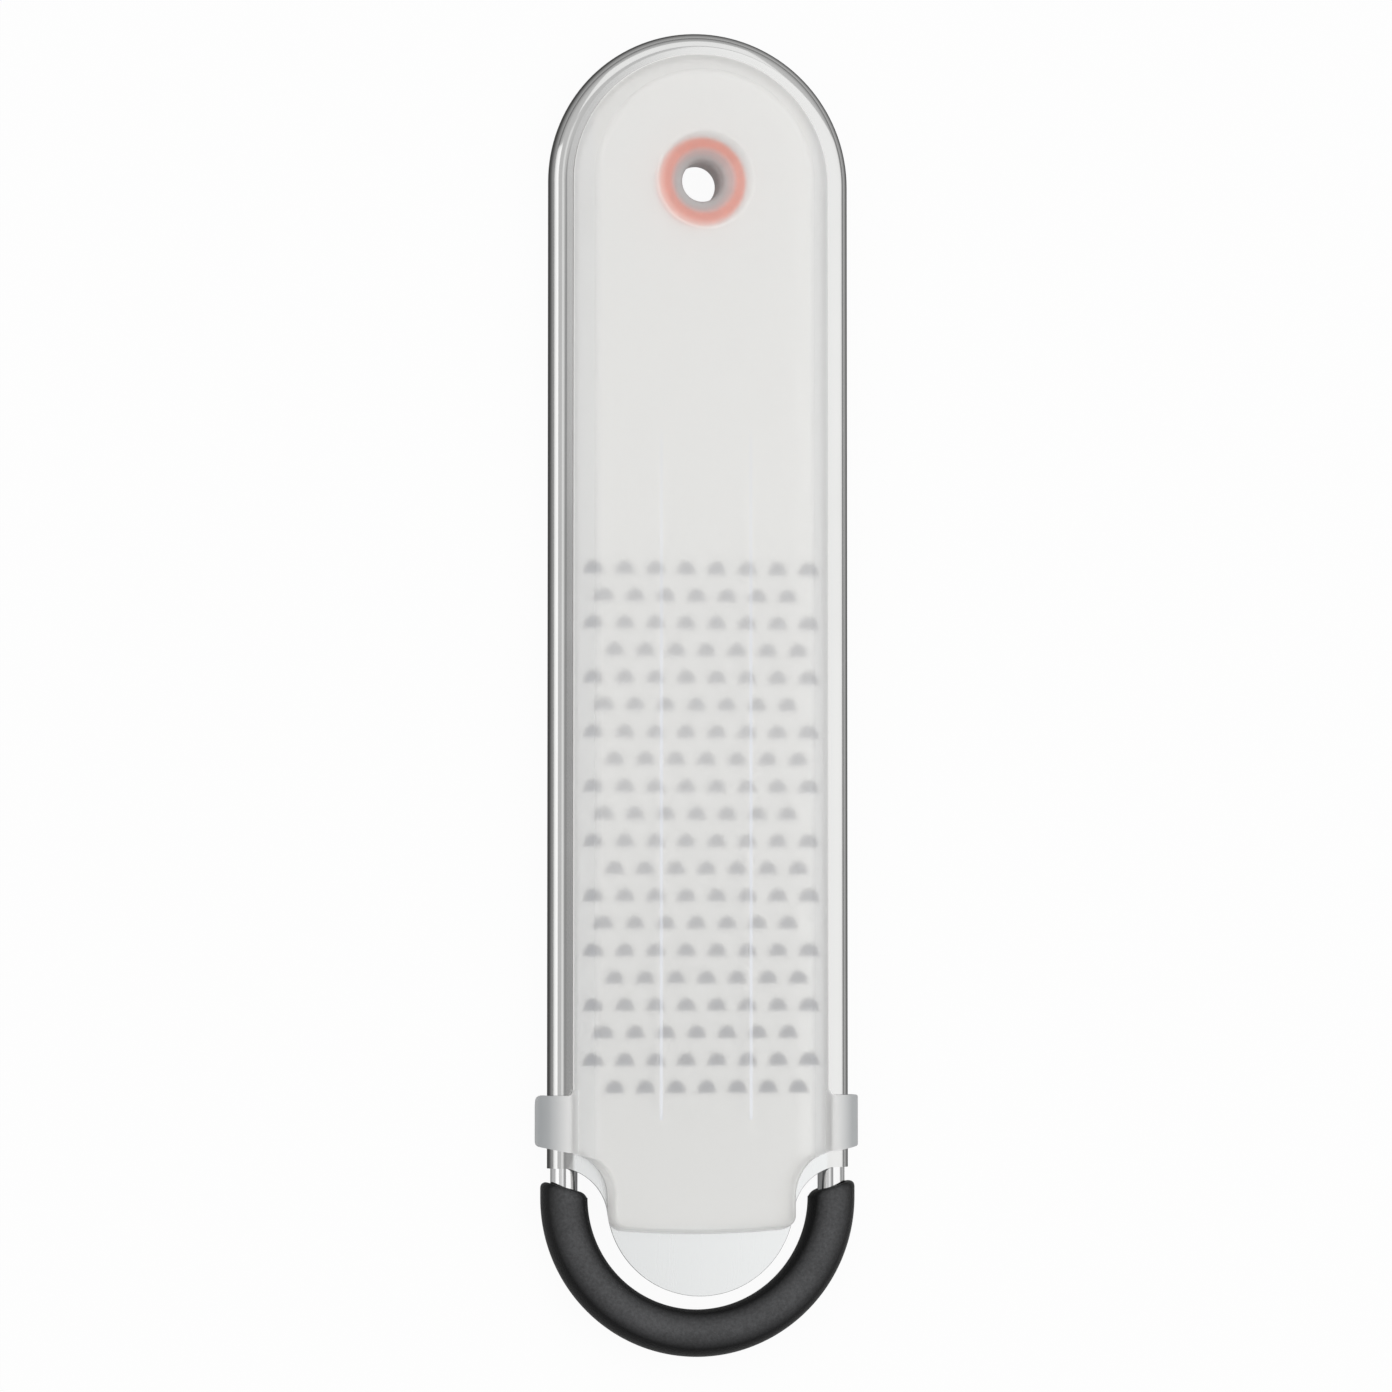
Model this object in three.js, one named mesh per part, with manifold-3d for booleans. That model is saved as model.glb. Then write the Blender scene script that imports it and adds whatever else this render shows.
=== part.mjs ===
// Flat fine grater: a toothed steel plate with a wired rim, a rubber-sleeved foot loop, a hanging eyelet
// and a translucent cover that lifts off. Millimetres, +Z up, lying on its back with the teeth upwards.
// +Y points to the hanging eyelet. The origin is the middle of the footprint, on the table.

import * as THREE from "three";
import { mergeGeometries, mergeVertices } from "three/addons/utils/BufferGeometryUtils.js";
import Module from "manifold-3d";

const wasm = await Module();
wasm.setup();

// Overall sizes
const OVERALL_LENGTH = 270;
const PLATE_WIDTH = 62;
const FIT_GAP = 0.3;

// Wired rim: the sheet curls round a bent rod
const SHEET = 0.5;
const ROD_DIAMETER = 5.5;
const ROD_PLAY = 0.2;
const CURL_WRAP_DEG = 247.5;
const CURL_LAP = 1.0;
const RIM_END = 6.0;
const ROD_END_BELOW_ARCH = 4.0;

// Rubber sleeve on the loop
const GRIP_DIAMETER = 9.6;
const GRIP_BORE_PLAY = 0.25;
const GRIP_STRAIGHT = 2.2;
const GRIP_END_SLANT_DEG = 16;
const GRIP_END_ROUND = 1.1;

// Tongue at the plate's lower end
const TONGUE_RADIUS = 19.3;
const TONGUE_DROP = 0.6;
const SHOULDER_RADIUS = 10.5;

// Teeth: rows of arched scales, shifted by sixths of a pitch from row to row
const TOOTH_PITCH_X = 6.3;
const TOOTH_PITCH_Y = 5.54;
const TOOTH_FIELD_LENGTH = 106;
const TOOTH_FIELD_ABOVE_RIM_END = 15.0;
const TOOTH_SIDE_MARGIN = 0.5;
const TOOTH_HALF_WIDTH = 1.85;
const TOOTH_LENGTH = 2.65;
const TOOTH_HOLE_MARGIN = 0.3;
const TOOTH_THICKNESS = 0.3;
const TOOTH_ROOT = 0.25;
const TOOTH_ANGLE_DEG = 24;
const ROW_SHIFTS = [0, -1 / 6, 0, 1 / 6];

// Hanging eyelet
const EYELET_BORE_RADIUS = 5.4;
const EYELET_BARREL_RADIUS = 6.5;
const EYELET_FLANGE_RADIUS = 8.8;
const EYELET_FLANGE_HEIGHT = 1.0;
const EYELET_LIP = 1.3;
const EYELET_FOOT_WIDTH = 1.6;
const EYELET_CHAMFER = 0.8;

// Cover: a shallow tray turned upside down, with two clips and a hollow boss
const COVER_HEIGHT = 6.2;
const COVER_WALL = 1.2;
const COVER_INSET = 1.15;
const COVER_SIDE_SLOPE = 3.7;
const COVER_EDGE_DRAFT = 0.6;
const COVER_EDGE_ROUND = 1.4;
const COVER_SHOULDER_RADIUS = 9.0;
const COVER_SHOULDER_TOP = 9.3;
const COVER_NECK_HALF = 19.2;
const COVER_FOOT = 6.6;
const COVER_FOOT_BOW = 0.7;
const COVER_CORNER_RADIUS = 3.2;
const COVER_INNER_CORNER = 0.4;
const RIB_SPACING = 18.4;
const RIB_WIDTH = 1.0;
const RIB_HEIGHT = 1.0;
const RIB_START_HEIGHT = 0.25;
const RIB_BELOW_ARCH = 50;
const RIB_ABOVE_RIM_END = 10;
const CLIP_WIDTH = 11.4;
const CLIP_WALL = 1.7;
const CLIP_GAP = 0.35;
const CLIP_LEG_END = 1.5;
const CLIP_CORNER_RADIUS = 2.6;
const CLIP_EDGE_RADIUS = 1.0;
const CLIP_SLANT = 0.9;
const SNAP_BEAD = 0.2;
const SNAP_BEAD_HEIGHT = 1.2;
const BOSS_BORE_RADIUS = 4.1;
const BOSS_WALL = 0.9;
const BOSS_END = 1.0;
const DISH_RADIUS = 10.0;
const DISH_FLOOR = 1.95;

// Places that follow from the sizes above
const CURL_RADIUS = ROD_DIAMETER / 2 + ROD_PLAY + SHEET;
const LOOP_RADIUS = PLATE_WIDTH / 2 - CURL_RADIUS;
const ROD_Z = GRIP_DIAMETER / 2;
const FACE_Z = ROD_Z + CURL_RADIUS;
const ARCH_Y = OVERALL_LENGTH / 2 - PLATE_WIDTH / 2;
const LOOP_Y = -OVERALL_LENGTH / 2 + GRIP_DIAMETER / 2 + LOOP_RADIUS;
const RIM_END_Y = LOOP_Y + RIM_END;
const COVER_BASE_Z = FACE_Z + FIT_GAP;
const COVER_TOP_Z = FACE_Z + COVER_HEIGHT;
const COVER_CEILING_Z = COVER_TOP_Z - COVER_WALL;
const COVER_HALF = LOOP_RADIUS - COVER_INSET;

// Facets along the round forms
const ARCH_STEPS = 26;
const CURL_STEPS = 11;
const ROD_SIDES = 14;
const GRIP_SIDES = 16;
const LOOP_STEPS = 24;
const TOOTH_STEPS = 5;
const CORNER_STEPS = 4;
const TURN_STEPS = 28;

const radians = THREE.MathUtils.degToRad;

// Points on an arc about (x, y), from one angle to another in degrees, both ends included.
function arc(x, y, radius, from, to, steps) {
  return Array.from({ length: steps + 1 }, (_, i) => {
    const angle = radians(from + ((to - from) * i) / steps);
    return new THREE.Vector2(x + radius * Math.cos(angle), y + radius * Math.sin(angle));
  });
}

function mirrored(points) {
  return points.map((p) => new THREE.Vector2(-p.x, p.y)).reverse();
}

function angleDeg(from, to) {
  return THREE.MathUtils.radToDeg(Math.atan2(to.y - from.y, to.x - from.x));
}

// A closed mesh as a solid for joining and cutting.
function solid(geometry) {
  const bare = geometry.index ? geometry.toNonIndexed() : geometry.clone();
  bare.deleteAttribute("normal");
  bare.deleteAttribute("uv");
  const merged = mergeVertices(bare, 1e-4);
  return new wasm.Manifold(
    new wasm.Mesh({
      numProp: 3,
      vertProperties: new Float32Array(merged.attributes.position.array),
      triVerts: new Uint32Array(merged.index.array),
    }),
  );
}

function geometryOf(body) {
  const mesh = body.getMesh();
  const geometry = new THREE.BufferGeometry();
  geometry.setAttribute("position", new THREE.BufferAttribute(new Float32Array(mesh.vertProperties), 3));
  geometry.setIndex(new THREE.BufferAttribute(new Uint32Array(mesh.triVerts), 1));
  geometry.computeVertexNormals();
  return geometry;
}

// A skin over rings of equal length. Cap outlines close its ends; without them the last ring meets the first.
function loft(rings, firstCap, lastCap = firstCap) {
  const count = rings[0].length;
  const index = [];
  const spans = firstCap ? rings.length - 1 : rings.length;
  for (let i = 0; i < spans; i++) {
    const low = i * count;
    const high = ((i + 1) % rings.length) * count;
    for (let j = 0; j < count; j++) {
      const next = (j + 1) % count;
      index.push(low + j, low + next, high + next, low + j, high + next, high + j);
    }
  }
  if (firstCap) {
    const last = (rings.length - 1) * count;
    for (const [a, b, c] of THREE.ShapeUtils.triangulateShape(firstCap, [])) {
      index.push(c, b, a);
    }
    for (const [a, b, c] of THREE.ShapeUtils.triangulateShape(lastCap, [])) {
      index.push(last + a, last + b, last + c);
    }
  }
  const geometry = new THREE.BufferGeometry().setFromPoints(rings.flat());
  geometry.setIndex(index);
  return geometry;
}

function extruded(points, depth, holes = []) {
  const shape = new THREE.Shape(points);
  shape.holes = holes.map((hole) => new THREE.Path(hole));
  return new THREE.ExtrudeGeometry(shape, { depth, bevelEnabled: false });
}

function turned(profile) {
  const points = profile.map(([radius, z]) => new THREE.Vector2(radius, z));
  return new THREE.LatheGeometry(points, TURN_STEPS).rotateX(Math.PI / 2);
}

// Stations along the rod's U: each has a place, the way outwards and the way onwards.
function loopStations(legTop) {
  const stations = [];
  const legs = [
    [-1, legTop],
    [-1, LOOP_Y],
  ];
  for (const [side, y] of legs) {
    stations.push({ at: new THREE.Vector2(side * LOOP_RADIUS, y), out: new THREE.Vector2(side, 0) });
  }
  for (const p of arc(0, 0, 1, 180, 360, LOOP_STEPS).slice(1, -1)) {
    const at = p.clone().multiplyScalar(LOOP_RADIUS);
    at.y += LOOP_Y;
    stations.push({ at, out: p });
  }
  for (const [side, y] of legs.reverse()) {
    stations.push({ at: new THREE.Vector2(-side * LOOP_RADIUS, y), out: new THREE.Vector2(-side, 0) });
  }
  return stations;
}

// A round section standing across a station, with its outer side pushed on by a slant.
function roundRing({ at, out }, radius, sides, slant = 0, along = 0) {
  const onward = new THREE.Vector2(-out.y, out.x);
  return arc(0, 0, radius, 360, 0, sides)
    .slice(0, -1)
    .map((p) => {
      const place = at.clone().addScaledVector(out, p.x).addScaledVector(onward, along + slant * p.x);
      return new THREE.Vector3(place.x, place.y, ROD_Z + p.y);
    });
}

// The sheet's flat face and the outline that it is cut to
function plateOutline() {
  const half = LOOP_RADIUS - CURL_LAP / 2;
  const tongue = new THREE.Vector2(0, LOOP_Y - TONGUE_DROP);
  const corner = new THREE.Vector2(half, RIM_END_Y);
  const shoulder = tangentCentre(tongue, TONGUE_RADIUS + SHOULDER_RADIUS, corner, SHOULDER_RADIUS);
  const right = [
    ...arc(tongue.x, tongue.y, TONGUE_RADIUS, 270, 360 + angleDeg(tongue, shoulder), 14),
    ...arc(
      shoulder.x,
      shoulder.y,
      SHOULDER_RADIUS,
      180 + angleDeg(tongue, shoulder),
      angleDeg(shoulder, corner),
      8,
    ).slice(1),
    ...arc(0, ARCH_Y, half, 0, 90, ARCH_STEPS / 2),
  ];
  return [...right, ...mirrored(right).slice(1, -1)];
}

// The centre at one distance from a first point and at another from a second, on the lower right.
function tangentCentre(first, firstDistance, second, secondDistance) {
  const apart = second.clone().sub(first);
  const gap = apart.length();
  const along = (firstDistance ** 2 - secondDistance ** 2 + gap ** 2) / (2 * gap);
  const aside = Math.sqrt(firstDistance ** 2 - along ** 2);
  const way = apart.divideScalar(gap);
  const across = new THREE.Vector2(way.y, -way.x);
  return first.clone().addScaledVector(way, along).addScaledVector(across, aside);
}

function toothPlaces() {
  const rows = Math.floor(TOOTH_FIELD_LENGTH / TOOTH_PITCH_Y) + 1;
  const usableHalf = COVER_HALF - COVER_WALL - TOOTH_SIDE_MARGIN;
  const holeHalf = TOOTH_HALF_WIDTH + TOOTH_HOLE_MARGIN;
  const fullRow = 2 * Math.floor((usableHalf - holeHalf) / TOOTH_PITCH_X + 0.5);
  const firstY = RIM_END_Y + TOOTH_FIELD_ABOVE_RIM_END;
  const places = [];
  for (let row = 0; row < rows; row++) {
    const shift = ROW_SHIFTS[(row + 3) % ROW_SHIFTS.length];
    const count = shift === 0 ? fullRow : fullRow - 1;
    for (let i = 0; i < count; i++) {
      const x = (i - (count - 1) / 2 + shift) * TOOTH_PITCH_X;
      places.push(new THREE.Vector2(x, firstY + row * TOOTH_PITCH_Y));
    }
  }
  return places;
}

function toothArch(margin) {
  const width = TOOTH_HALF_WIDTH + margin;
  const length = TOOTH_LENGTH + margin;
  return arc(0, 0, 1, 0, 180, TOOTH_STEPS).map((p) => new THREE.Vector2(p.x * width, p.y * length));
}

function toothHole(place) {
  const outline = toothArch(TOOTH_HOLE_MARGIN);
  return extruded(outline, 3 * SHEET).translate(place.x, place.y, FACE_Z - 2 * SHEET);
}

function toothScale(place) {
  const outline = [
    ...toothArch(0),
    new THREE.Vector2(-TOOTH_HALF_WIDTH, -TOOTH_ROOT),
    new THREE.Vector2(TOOTH_HALF_WIDTH, -TOOTH_ROOT),
  ];
  const rise = Math.tan(radians(TOOTH_ANGLE_DEG));
  const bendUp = new THREE.Matrix4().set(1, 0, 0, 0, 0, 1, 0, 0, 0, rise, 1, 0, 0, 0, 0, 1);
  return extruded(outline, TOOTH_THICKNESS)
    .applyMatrix4(bendUp)
    .translate(place.x, place.y, FACE_Z - TOOTH_THICKNESS);
}

// The rim: a hook-shaped section swept up one side, round the arch and down the other.
function curledRim() {
  const inner = CURL_RADIUS - SHEET;
  const end = 90 - CURL_WRAP_DEG;
  const section = [
    new THREE.Vector2(-CURL_LAP, CURL_RADIUS),
    new THREE.Vector2(-CURL_LAP, inner),
    ...arc(0, 0, inner, 90, end, CURL_STEPS),
    ...arc(0, 0, CURL_RADIUS, end, 90, CURL_STEPS),
  ];
  const path = [
    { at: new THREE.Vector2(LOOP_RADIUS, RIM_END_Y), out: new THREE.Vector2(1, 0) },
    ...arc(0, 0, 1, 0, 180, ARCH_STEPS).map((out) => ({
      at: new THREE.Vector2(out.x * LOOP_RADIUS, ARCH_Y + out.y * LOOP_RADIUS),
      out,
    })),
    { at: new THREE.Vector2(-LOOP_RADIUS, RIM_END_Y), out: new THREE.Vector2(-1, 0) },
  ];
  const rings = path.map(({ at, out }) =>
    section
      .toReversed()
      .map((p) => new THREE.Vector3(at.x + out.x * p.x, at.y + out.y * p.x, ROD_Z + p.y)),
  );
  return loft(rings, mirrored(section));
}

function graterPlate() {
  const places = toothPlaces();
  const eyeletHole = arc(0, ARCH_Y, EYELET_BARREL_RADIUS + FIT_GAP, 0, 360, TURN_STEPS).slice(0, -1);
  const face = extruded(plateOutline(), SHEET, [eyeletHole]).translate(0, 0, FACE_Z - SHEET);
  const holes = mergeGeometries(places.map(toothHole));
  const scales = mergeGeometries(places.map(toothScale));
  const plate = solid(face).subtract(solid(holes)).add(solid(scales)).add(solid(curledRim()));
  return geometryOf(plate);
}

function loopRod() {
  const stations = loopStations(ARCH_Y - ROD_END_BELOW_ARCH);
  const radius = ROD_DIAMETER / 2;
  const cap = arc(0, 0, radius, 0, 360, ROD_SIDES).slice(0, -1);
  return loft(
    stations.map((station) => roundRing(station, radius, ROD_SIDES)),
    cap,
  );
}

// The sleeve: its outside runs round the loop one way and its bore runs back the other.
function loopGrip() {
  const stations = loopStations(LOOP_Y + GRIP_STRAIGHT);
  const outer = GRIP_DIAMETER / 2;
  const bore = ROD_DIAMETER / 2 + GRIP_BORE_PLAY;
  const slant = Math.tan(radians(GRIP_END_SLANT_DEG));
  const first = stations[0];
  const last = stations[stations.length - 1];
  const endRound = [0, 30, 60, 90].map((angle) => [
    outer - GRIP_END_ROUND * (1 - Math.cos(radians(angle))),
    GRIP_END_ROUND * (Math.sin(radians(angle)) - 1),
  ]);
  const outside = [
    ...endRound.toReversed().map(([radius, back]) => roundRing(first, radius, GRIP_SIDES, -slant, -back)),
    ...stations.slice(1, -1).map((station) => roundRing(station, outer, GRIP_SIDES)),
    ...endRound.map(([radius, back]) => roundRing(last, radius, GRIP_SIDES, slant, back)),
  ];
  const inside = [
    roundRing(last, bore, GRIP_SIDES, slant),
    ...stations
      .slice(1, -1)
      .toReversed()
      .map((station) => roundRing(station, bore, GRIP_SIDES)),
    roundRing(first, bore, GRIP_SIDES, -slant),
  ];
  return loft([...outside, ...inside]);
}

// The eyelet: a bush whose groove grips the sheet and whose lower rim is level with the grip.
function hangingEyelet() {
  const under = FACE_Z - SHEET - FIT_GAP;
  const over = FACE_Z + FIT_GAP;
  const top = over + EYELET_FLANGE_HEIGHT;
  const foot = EYELET_BORE_RADIUS + EYELET_FOOT_WIDTH;
  return turned([
    [EYELET_BORE_RADIUS, 0],
    [foot, 0],
    [EYELET_BARREL_RADIUS + EYELET_LIP, under],
    [EYELET_BARREL_RADIUS, under],
    [EYELET_BARREL_RADIUS, over],
    [EYELET_FLANGE_RADIUS, over],
    [EYELET_FLANGE_RADIUS, top - EYELET_CHAMFER / 2],
    [EYELET_FLANGE_RADIUS - EYELET_CHAMFER, top],
    [EYELET_BORE_RADIUS + EYELET_CHAMFER, top],
    [EYELET_BORE_RADIUS, top - EYELET_CHAMFER],
    [EYELET_BORE_RADIUS, 0],
  ]).translate(0, ARCH_Y, 0);
}

// The cover's outline at one level: the sides drawn in by one amount and the lower edges by another.
function coverOutline(sideInset, edgeInset) {
  const half = COVER_HALF - sideInset;
  const shoulder = new THREE.Vector2(
    COVER_NECK_HALF + COVER_SHOULDER_RADIUS,
    LOOP_Y + COVER_SHOULDER_TOP - COVER_SHOULDER_RADIUS,
  );
  const shoulderRadius = COVER_SHOULDER_RADIUS + edgeInset;
  const cornerRadius = Math.max(COVER_CORNER_RADIUS - edgeInset, COVER_INNER_CORNER);
  const foot = LOOP_Y - COVER_FOOT + edgeInset;
  const corner = new THREE.Vector2(COVER_NECK_HALF - edgeInset - cornerRadius, foot + cornerRadius);
  const sideAngle = THREE.MathUtils.radToDeg(Math.acos((half - shoulder.x) / shoulderRadius));
  const right = [
    new THREE.Vector2(0, foot - COVER_FOOT_BOW),
    new THREE.Vector2(corner.x / 2, foot - COVER_FOOT_BOW * 0.75),
    ...arc(corner.x, corner.y, cornerRadius, 270, 360, CORNER_STEPS),
    ...arc(shoulder.x, shoulder.y, shoulderRadius, 180, sideAngle, 8),
    ...arc(0, ARCH_Y, half, 0, 90, ARCH_STEPS / 2),
  ];
  return [...right, ...mirrored(right).slice(1, -1)];
}

function trayBlock(levels, thickness) {
  const outlines = levels.map(([, side, edge]) => coverOutline(side + thickness, edge + thickness));
  const rings = outlines.map((outline, i) => outline.map((p) => new THREE.Vector3(p.x, p.y, levels[i][0])));
  return solid(loft(rings, outlines[0], outlines[outlines.length - 1]));
}

function coverShell() {
  const round = COVER_EDGE_ROUND;
  const turn = (angle) => [
    COVER_TOP_Z - round * (1 - Math.sin(radians(angle))),
    COVER_SIDE_SLOPE + round * (1 - Math.cos(radians(angle))),
    COVER_EDGE_DRAFT + round * (1 - Math.cos(radians(angle))),
  ];
  const outer = [[COVER_BASE_Z, 0, 0], turn(0), turn(45), turn(90)];
  const hollow = [
    [COVER_BASE_Z - COVER_WALL, 0, 0],
    [COVER_BASE_Z, 0, 0],
    ...outer.slice(1).map(([z, side, edge]) => [z - COVER_WALL, side, edge]),
  ];
  return trayBlock(outer, 0).subtract(trayBlock(hollow, COVER_WALL));
}

function coverRib(x) {
  const top = ARCH_Y - RIB_BELOW_ARCH;
  const bottom = RIM_END_Y + RIB_ABOVE_RIM_END;
  const root = COVER_CEILING_Z + COVER_WALL / 2;
  const side = [
    new THREE.Vector2(bottom, root),
    new THREE.Vector2(bottom, COVER_CEILING_Z - RIB_HEIGHT),
    new THREE.Vector2(top, COVER_CEILING_Z - RIB_START_HEIGHT),
    new THREE.Vector2(top, root),
  ];
  return standing(extruded(side, RIB_WIDTH)).translate(x - RIB_WIDTH / 2, 0, 0);
}

// Turns an outline drawn in Y and Z, and extruded, so that its depth runs along +X.
function standing(geometry) {
  return geometry.applyMatrix4(new THREE.Matrix4().set(0, 0, 1, 0, 1, 0, 0, 0, 0, 1, 0, 0, 0, 0, 0, 1));
}

// A clip on the right: a hook round the rim, trimmed to its shape seen from above and from the side.
function coverClip() {
  const gapRadius = CURL_RADIUS + CLIP_GAP;
  const outRadius = gapRadius + CLIP_WALL;
  const root = COVER_HALF - COVER_WALL;
  const low = LOOP_Y + COVER_SHOULDER_TOP;
  const high = low + CLIP_WIDTH;
  const tip = LOOP_RADIUS + outRadius;
  const section = [
    new THREE.Vector2(root, ROD_Z + outRadius),
    new THREE.Vector2(root, ROD_Z + gapRadius),
    ...arc(LOOP_RADIUS, ROD_Z, gapRadius, 90, 0, 6),
    new THREE.Vector2(LOOP_RADIUS + gapRadius, CLIP_LEG_END + SNAP_BEAD_HEIGHT),
    new THREE.Vector2(LOOP_RADIUS + gapRadius - SNAP_BEAD, CLIP_LEG_END + SNAP_BEAD_HEIGHT / 2),
    new THREE.Vector2(LOOP_RADIUS + gapRadius, CLIP_LEG_END),
    new THREE.Vector2(tip, CLIP_LEG_END),
    ...arc(LOOP_RADIUS, ROD_Z, outRadius, 0, 90, 6),
  ];
  const hook = extruded(section, CLIP_WIDTH + 2 * CLIP_SLANT).rotateX(Math.PI / 2).translate(0, high, 0);
  const edge = CLIP_EDGE_RADIUS;
  const above = [
    new THREE.Vector2(root - 1, low),
    new THREE.Vector2(LOOP_RADIUS, low),
    ...arc(tip - edge, low + CLIP_SLANT + edge, edge, 270, 360, CORNER_STEPS),
    ...arc(tip - edge, high - edge, edge, 0, 90, CORNER_STEPS),
    new THREE.Vector2(root - 1, high),
  ];
  const reach = COVER_TOP_Z;
  const fromAbove = extruded(above, reach);
  const round = CLIP_CORNER_RADIUS;
  const beside = [
    ...arc(low + round, CLIP_LEG_END + round, round, 180, 270, CORNER_STEPS),
    ...arc(high - round, CLIP_LEG_END + round, round, 270, 360, CORNER_STEPS),
    new THREE.Vector2(high, reach),
    new THREE.Vector2(low, reach),
  ];
  const fromBeside = standing(extruded(beside, tip));
  return geometryOf(solid(hook).intersect(solid(fromAbove)).intersect(solid(fromBeside)));
}

// The boss: a dish in the panel that narrows to a tube through the eyelet.
function bossBody() {
  const floor = FACE_Z + DISH_FLOOR;
  const rise = (COVER_TOP_Z - floor) / (DISH_RADIUS - BOSS_BORE_RADIUS);
  const drop = COVER_WALL * Math.hypot(1, rise);
  const outer = BOSS_BORE_RADIUS + BOSS_WALL;
  const top = COVER_TOP_Z - COVER_WALL / 2;
  const underside = (radius) => floor + rise * (radius - BOSS_BORE_RADIUS) - drop;
  const rim = BOSS_BORE_RADIUS + (top + drop - floor) / rise;
  const body = turned([
    [0, BOSS_END],
    [outer, BOSS_END],
    [outer, underside(outer)],
    [rim, top],
    [0, top],
  ]);
  const bore = turned([
    [0, BOSS_END - COVER_WALL],
    [BOSS_BORE_RADIUS, BOSS_END - COVER_WALL],
    [BOSS_BORE_RADIUS, floor],
    [DISH_RADIUS, COVER_TOP_Z],
    [DISH_RADIUS, COVER_TOP_Z + COVER_WALL],
    [0, COVER_TOP_Z + COVER_WALL],
  ]);
  return [body.translate(0, ARCH_Y, 0), bore.translate(0, ARCH_Y, 0)];
}

function bladeCover() {
  const [boss, bore] = bossBody();
  const clip = coverClip();
  const otherClip = clip.clone().applyMatrix4(new THREE.Matrix4().makeScale(-1, 1, 1));
  otherClip.index.array.reverse();
  let cover = coverShell().add(solid(boss)).subtract(solid(bore));
  for (const piece of [clip, otherClip, coverRib(RIB_SPACING / 2), coverRib(-RIB_SPACING / 2)]) {
    cover = cover.add(solid(piece));
  }
  return geometryOf(cover);
}

function piece(name, geometry, color, roughness, metalness) {
  const mesh = new THREE.Mesh(geometry, new THREE.MeshStandardMaterial({ color, roughness, metalness }));
  mesh.name = name;
  return mesh;
}

const grater = new THREE.Group();
grater.add(
  piece("grater_plate", graterPlate(), 0xc9cbca, 0.35, 1),
  piece("loop_rod", loopRod(), 0xd4d5d6, 0.12, 1),
  piece("loop_grip", loopGrip(), 0x2b2c2e, 0.75, 0),
  piece("hanging_eyelet", hangingEyelet(), 0xe8601c, 0.45, 0),
  piece("blade_cover", bladeCover(), 0xe6e7e5, 0.5, 0),
);

export default grater;
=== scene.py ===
"""Looks of the flat fine grater: fine meshes for the sheet, rod, sleeve, eyelet and cover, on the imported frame.

Lengths are in millimetres and angles in degrees where nothing else is said; objects are made in metres.
"""

import math

import bmesh
import bpy
import numpy as np
from mathutils import Matrix, Vector
from mathutils.geometry import delaunay_2d_cdt


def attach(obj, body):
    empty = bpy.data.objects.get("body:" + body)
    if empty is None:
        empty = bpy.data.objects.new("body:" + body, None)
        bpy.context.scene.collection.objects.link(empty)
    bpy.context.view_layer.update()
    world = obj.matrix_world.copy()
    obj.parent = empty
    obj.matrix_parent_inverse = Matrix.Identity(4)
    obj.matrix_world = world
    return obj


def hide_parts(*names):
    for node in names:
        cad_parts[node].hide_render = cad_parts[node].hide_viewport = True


MM = 0.001

# The part's own sizes
OVERALL_LENGTH = 270.0
PLATE_WIDTH = 62.0
FIT_GAP = 0.3
SHEET = 0.5
ROD_DIAMETER = 5.5
ROD_PLAY = 0.2
CURL_WRAP_DEG = 247.5
RIM_END = 6.0
ROD_END_BELOW_ARCH = 4.0
GRIP_DIAMETER = 9.6
GRIP_BORE_PLAY = 0.25
GRIP_STRAIGHT = 2.2
GRIP_END_SLANT_DEG = 16.0
TONGUE_RADIUS = 19.3
TONGUE_DROP = 0.6
SHOULDER_RADIUS = 10.5
TOOTH_PITCH_X = 6.3
TOOTH_PITCH_Y = 5.54
TOOTH_FIELD_ABOVE_RIM_END = 15.0
TOOTH_HALF_WIDTH = 1.85
TOOTH_LENGTH = 2.65
TOOTH_HOLE_MARGIN = 0.3
TOOTH_ANGLE_DEG = 24.0
TOOTH_ROWS = 20
TOOTH_FULL_ROW = 8
ROW_SHIFTS = (0.0, -1 / 6, 0.0, 1 / 6)
ROW_SHIFT_START = 3
EYELET_BORE_RADIUS = 5.4
EYELET_BARREL_RADIUS = 6.5
EYELET_FLANGE_HEIGHT = 1.0
EYELET_LIP = 1.3
EYELET_FOOT_WIDTH = 1.6
COVER_HEIGHT = 6.2
COVER_WALL = 1.2
COVER_INSET = 1.15
COVER_SIDE_SLOPE = 3.7
COVER_EDGE_DRAFT = 0.6
COVER_EDGE_ROUND = 1.4
COVER_SHOULDER_RADIUS = 9.0
COVER_SHOULDER_TOP = 9.3
COVER_NECK_HALF = 19.2
COVER_FOOT = 6.6
COVER_FOOT_BOW = 0.7
COVER_CORNER_RADIUS = 3.2
COVER_INNER_CORNER = 0.4
RIB_SPACING = 18.4
RIB_WIDTH = 1.0
RIB_HEIGHT = 1.0
RIB_START_HEIGHT = 0.25
RIB_BELOW_ARCH = 50.0
RIB_ABOVE_RIM_END = 10.0
CLIP_WIDTH = 11.4
CLIP_WALL = 1.7
CLIP_GAP = 0.35
CLIP_LEG_END = 1.5
CLIP_CORNER_RADIUS = 2.6
CLIP_EDGE_RADIUS = 1.0
CLIP_SLANT = 0.9
SNAP_BEAD = 0.2
SNAP_BEAD_HEIGHT = 1.2
BOSS_BORE_RADIUS = 4.1
BOSS_WALL = 0.9
BOSS_END = 1.0
DISH_RADIUS = 10.0
DISH_FLOOR = 1.95

# Sizes that are a little larger here than in the part, as the photo shows
EYELET_FLANGE_RADIUS = 9.3
GRIP_END_ROUND = 1.5

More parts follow.
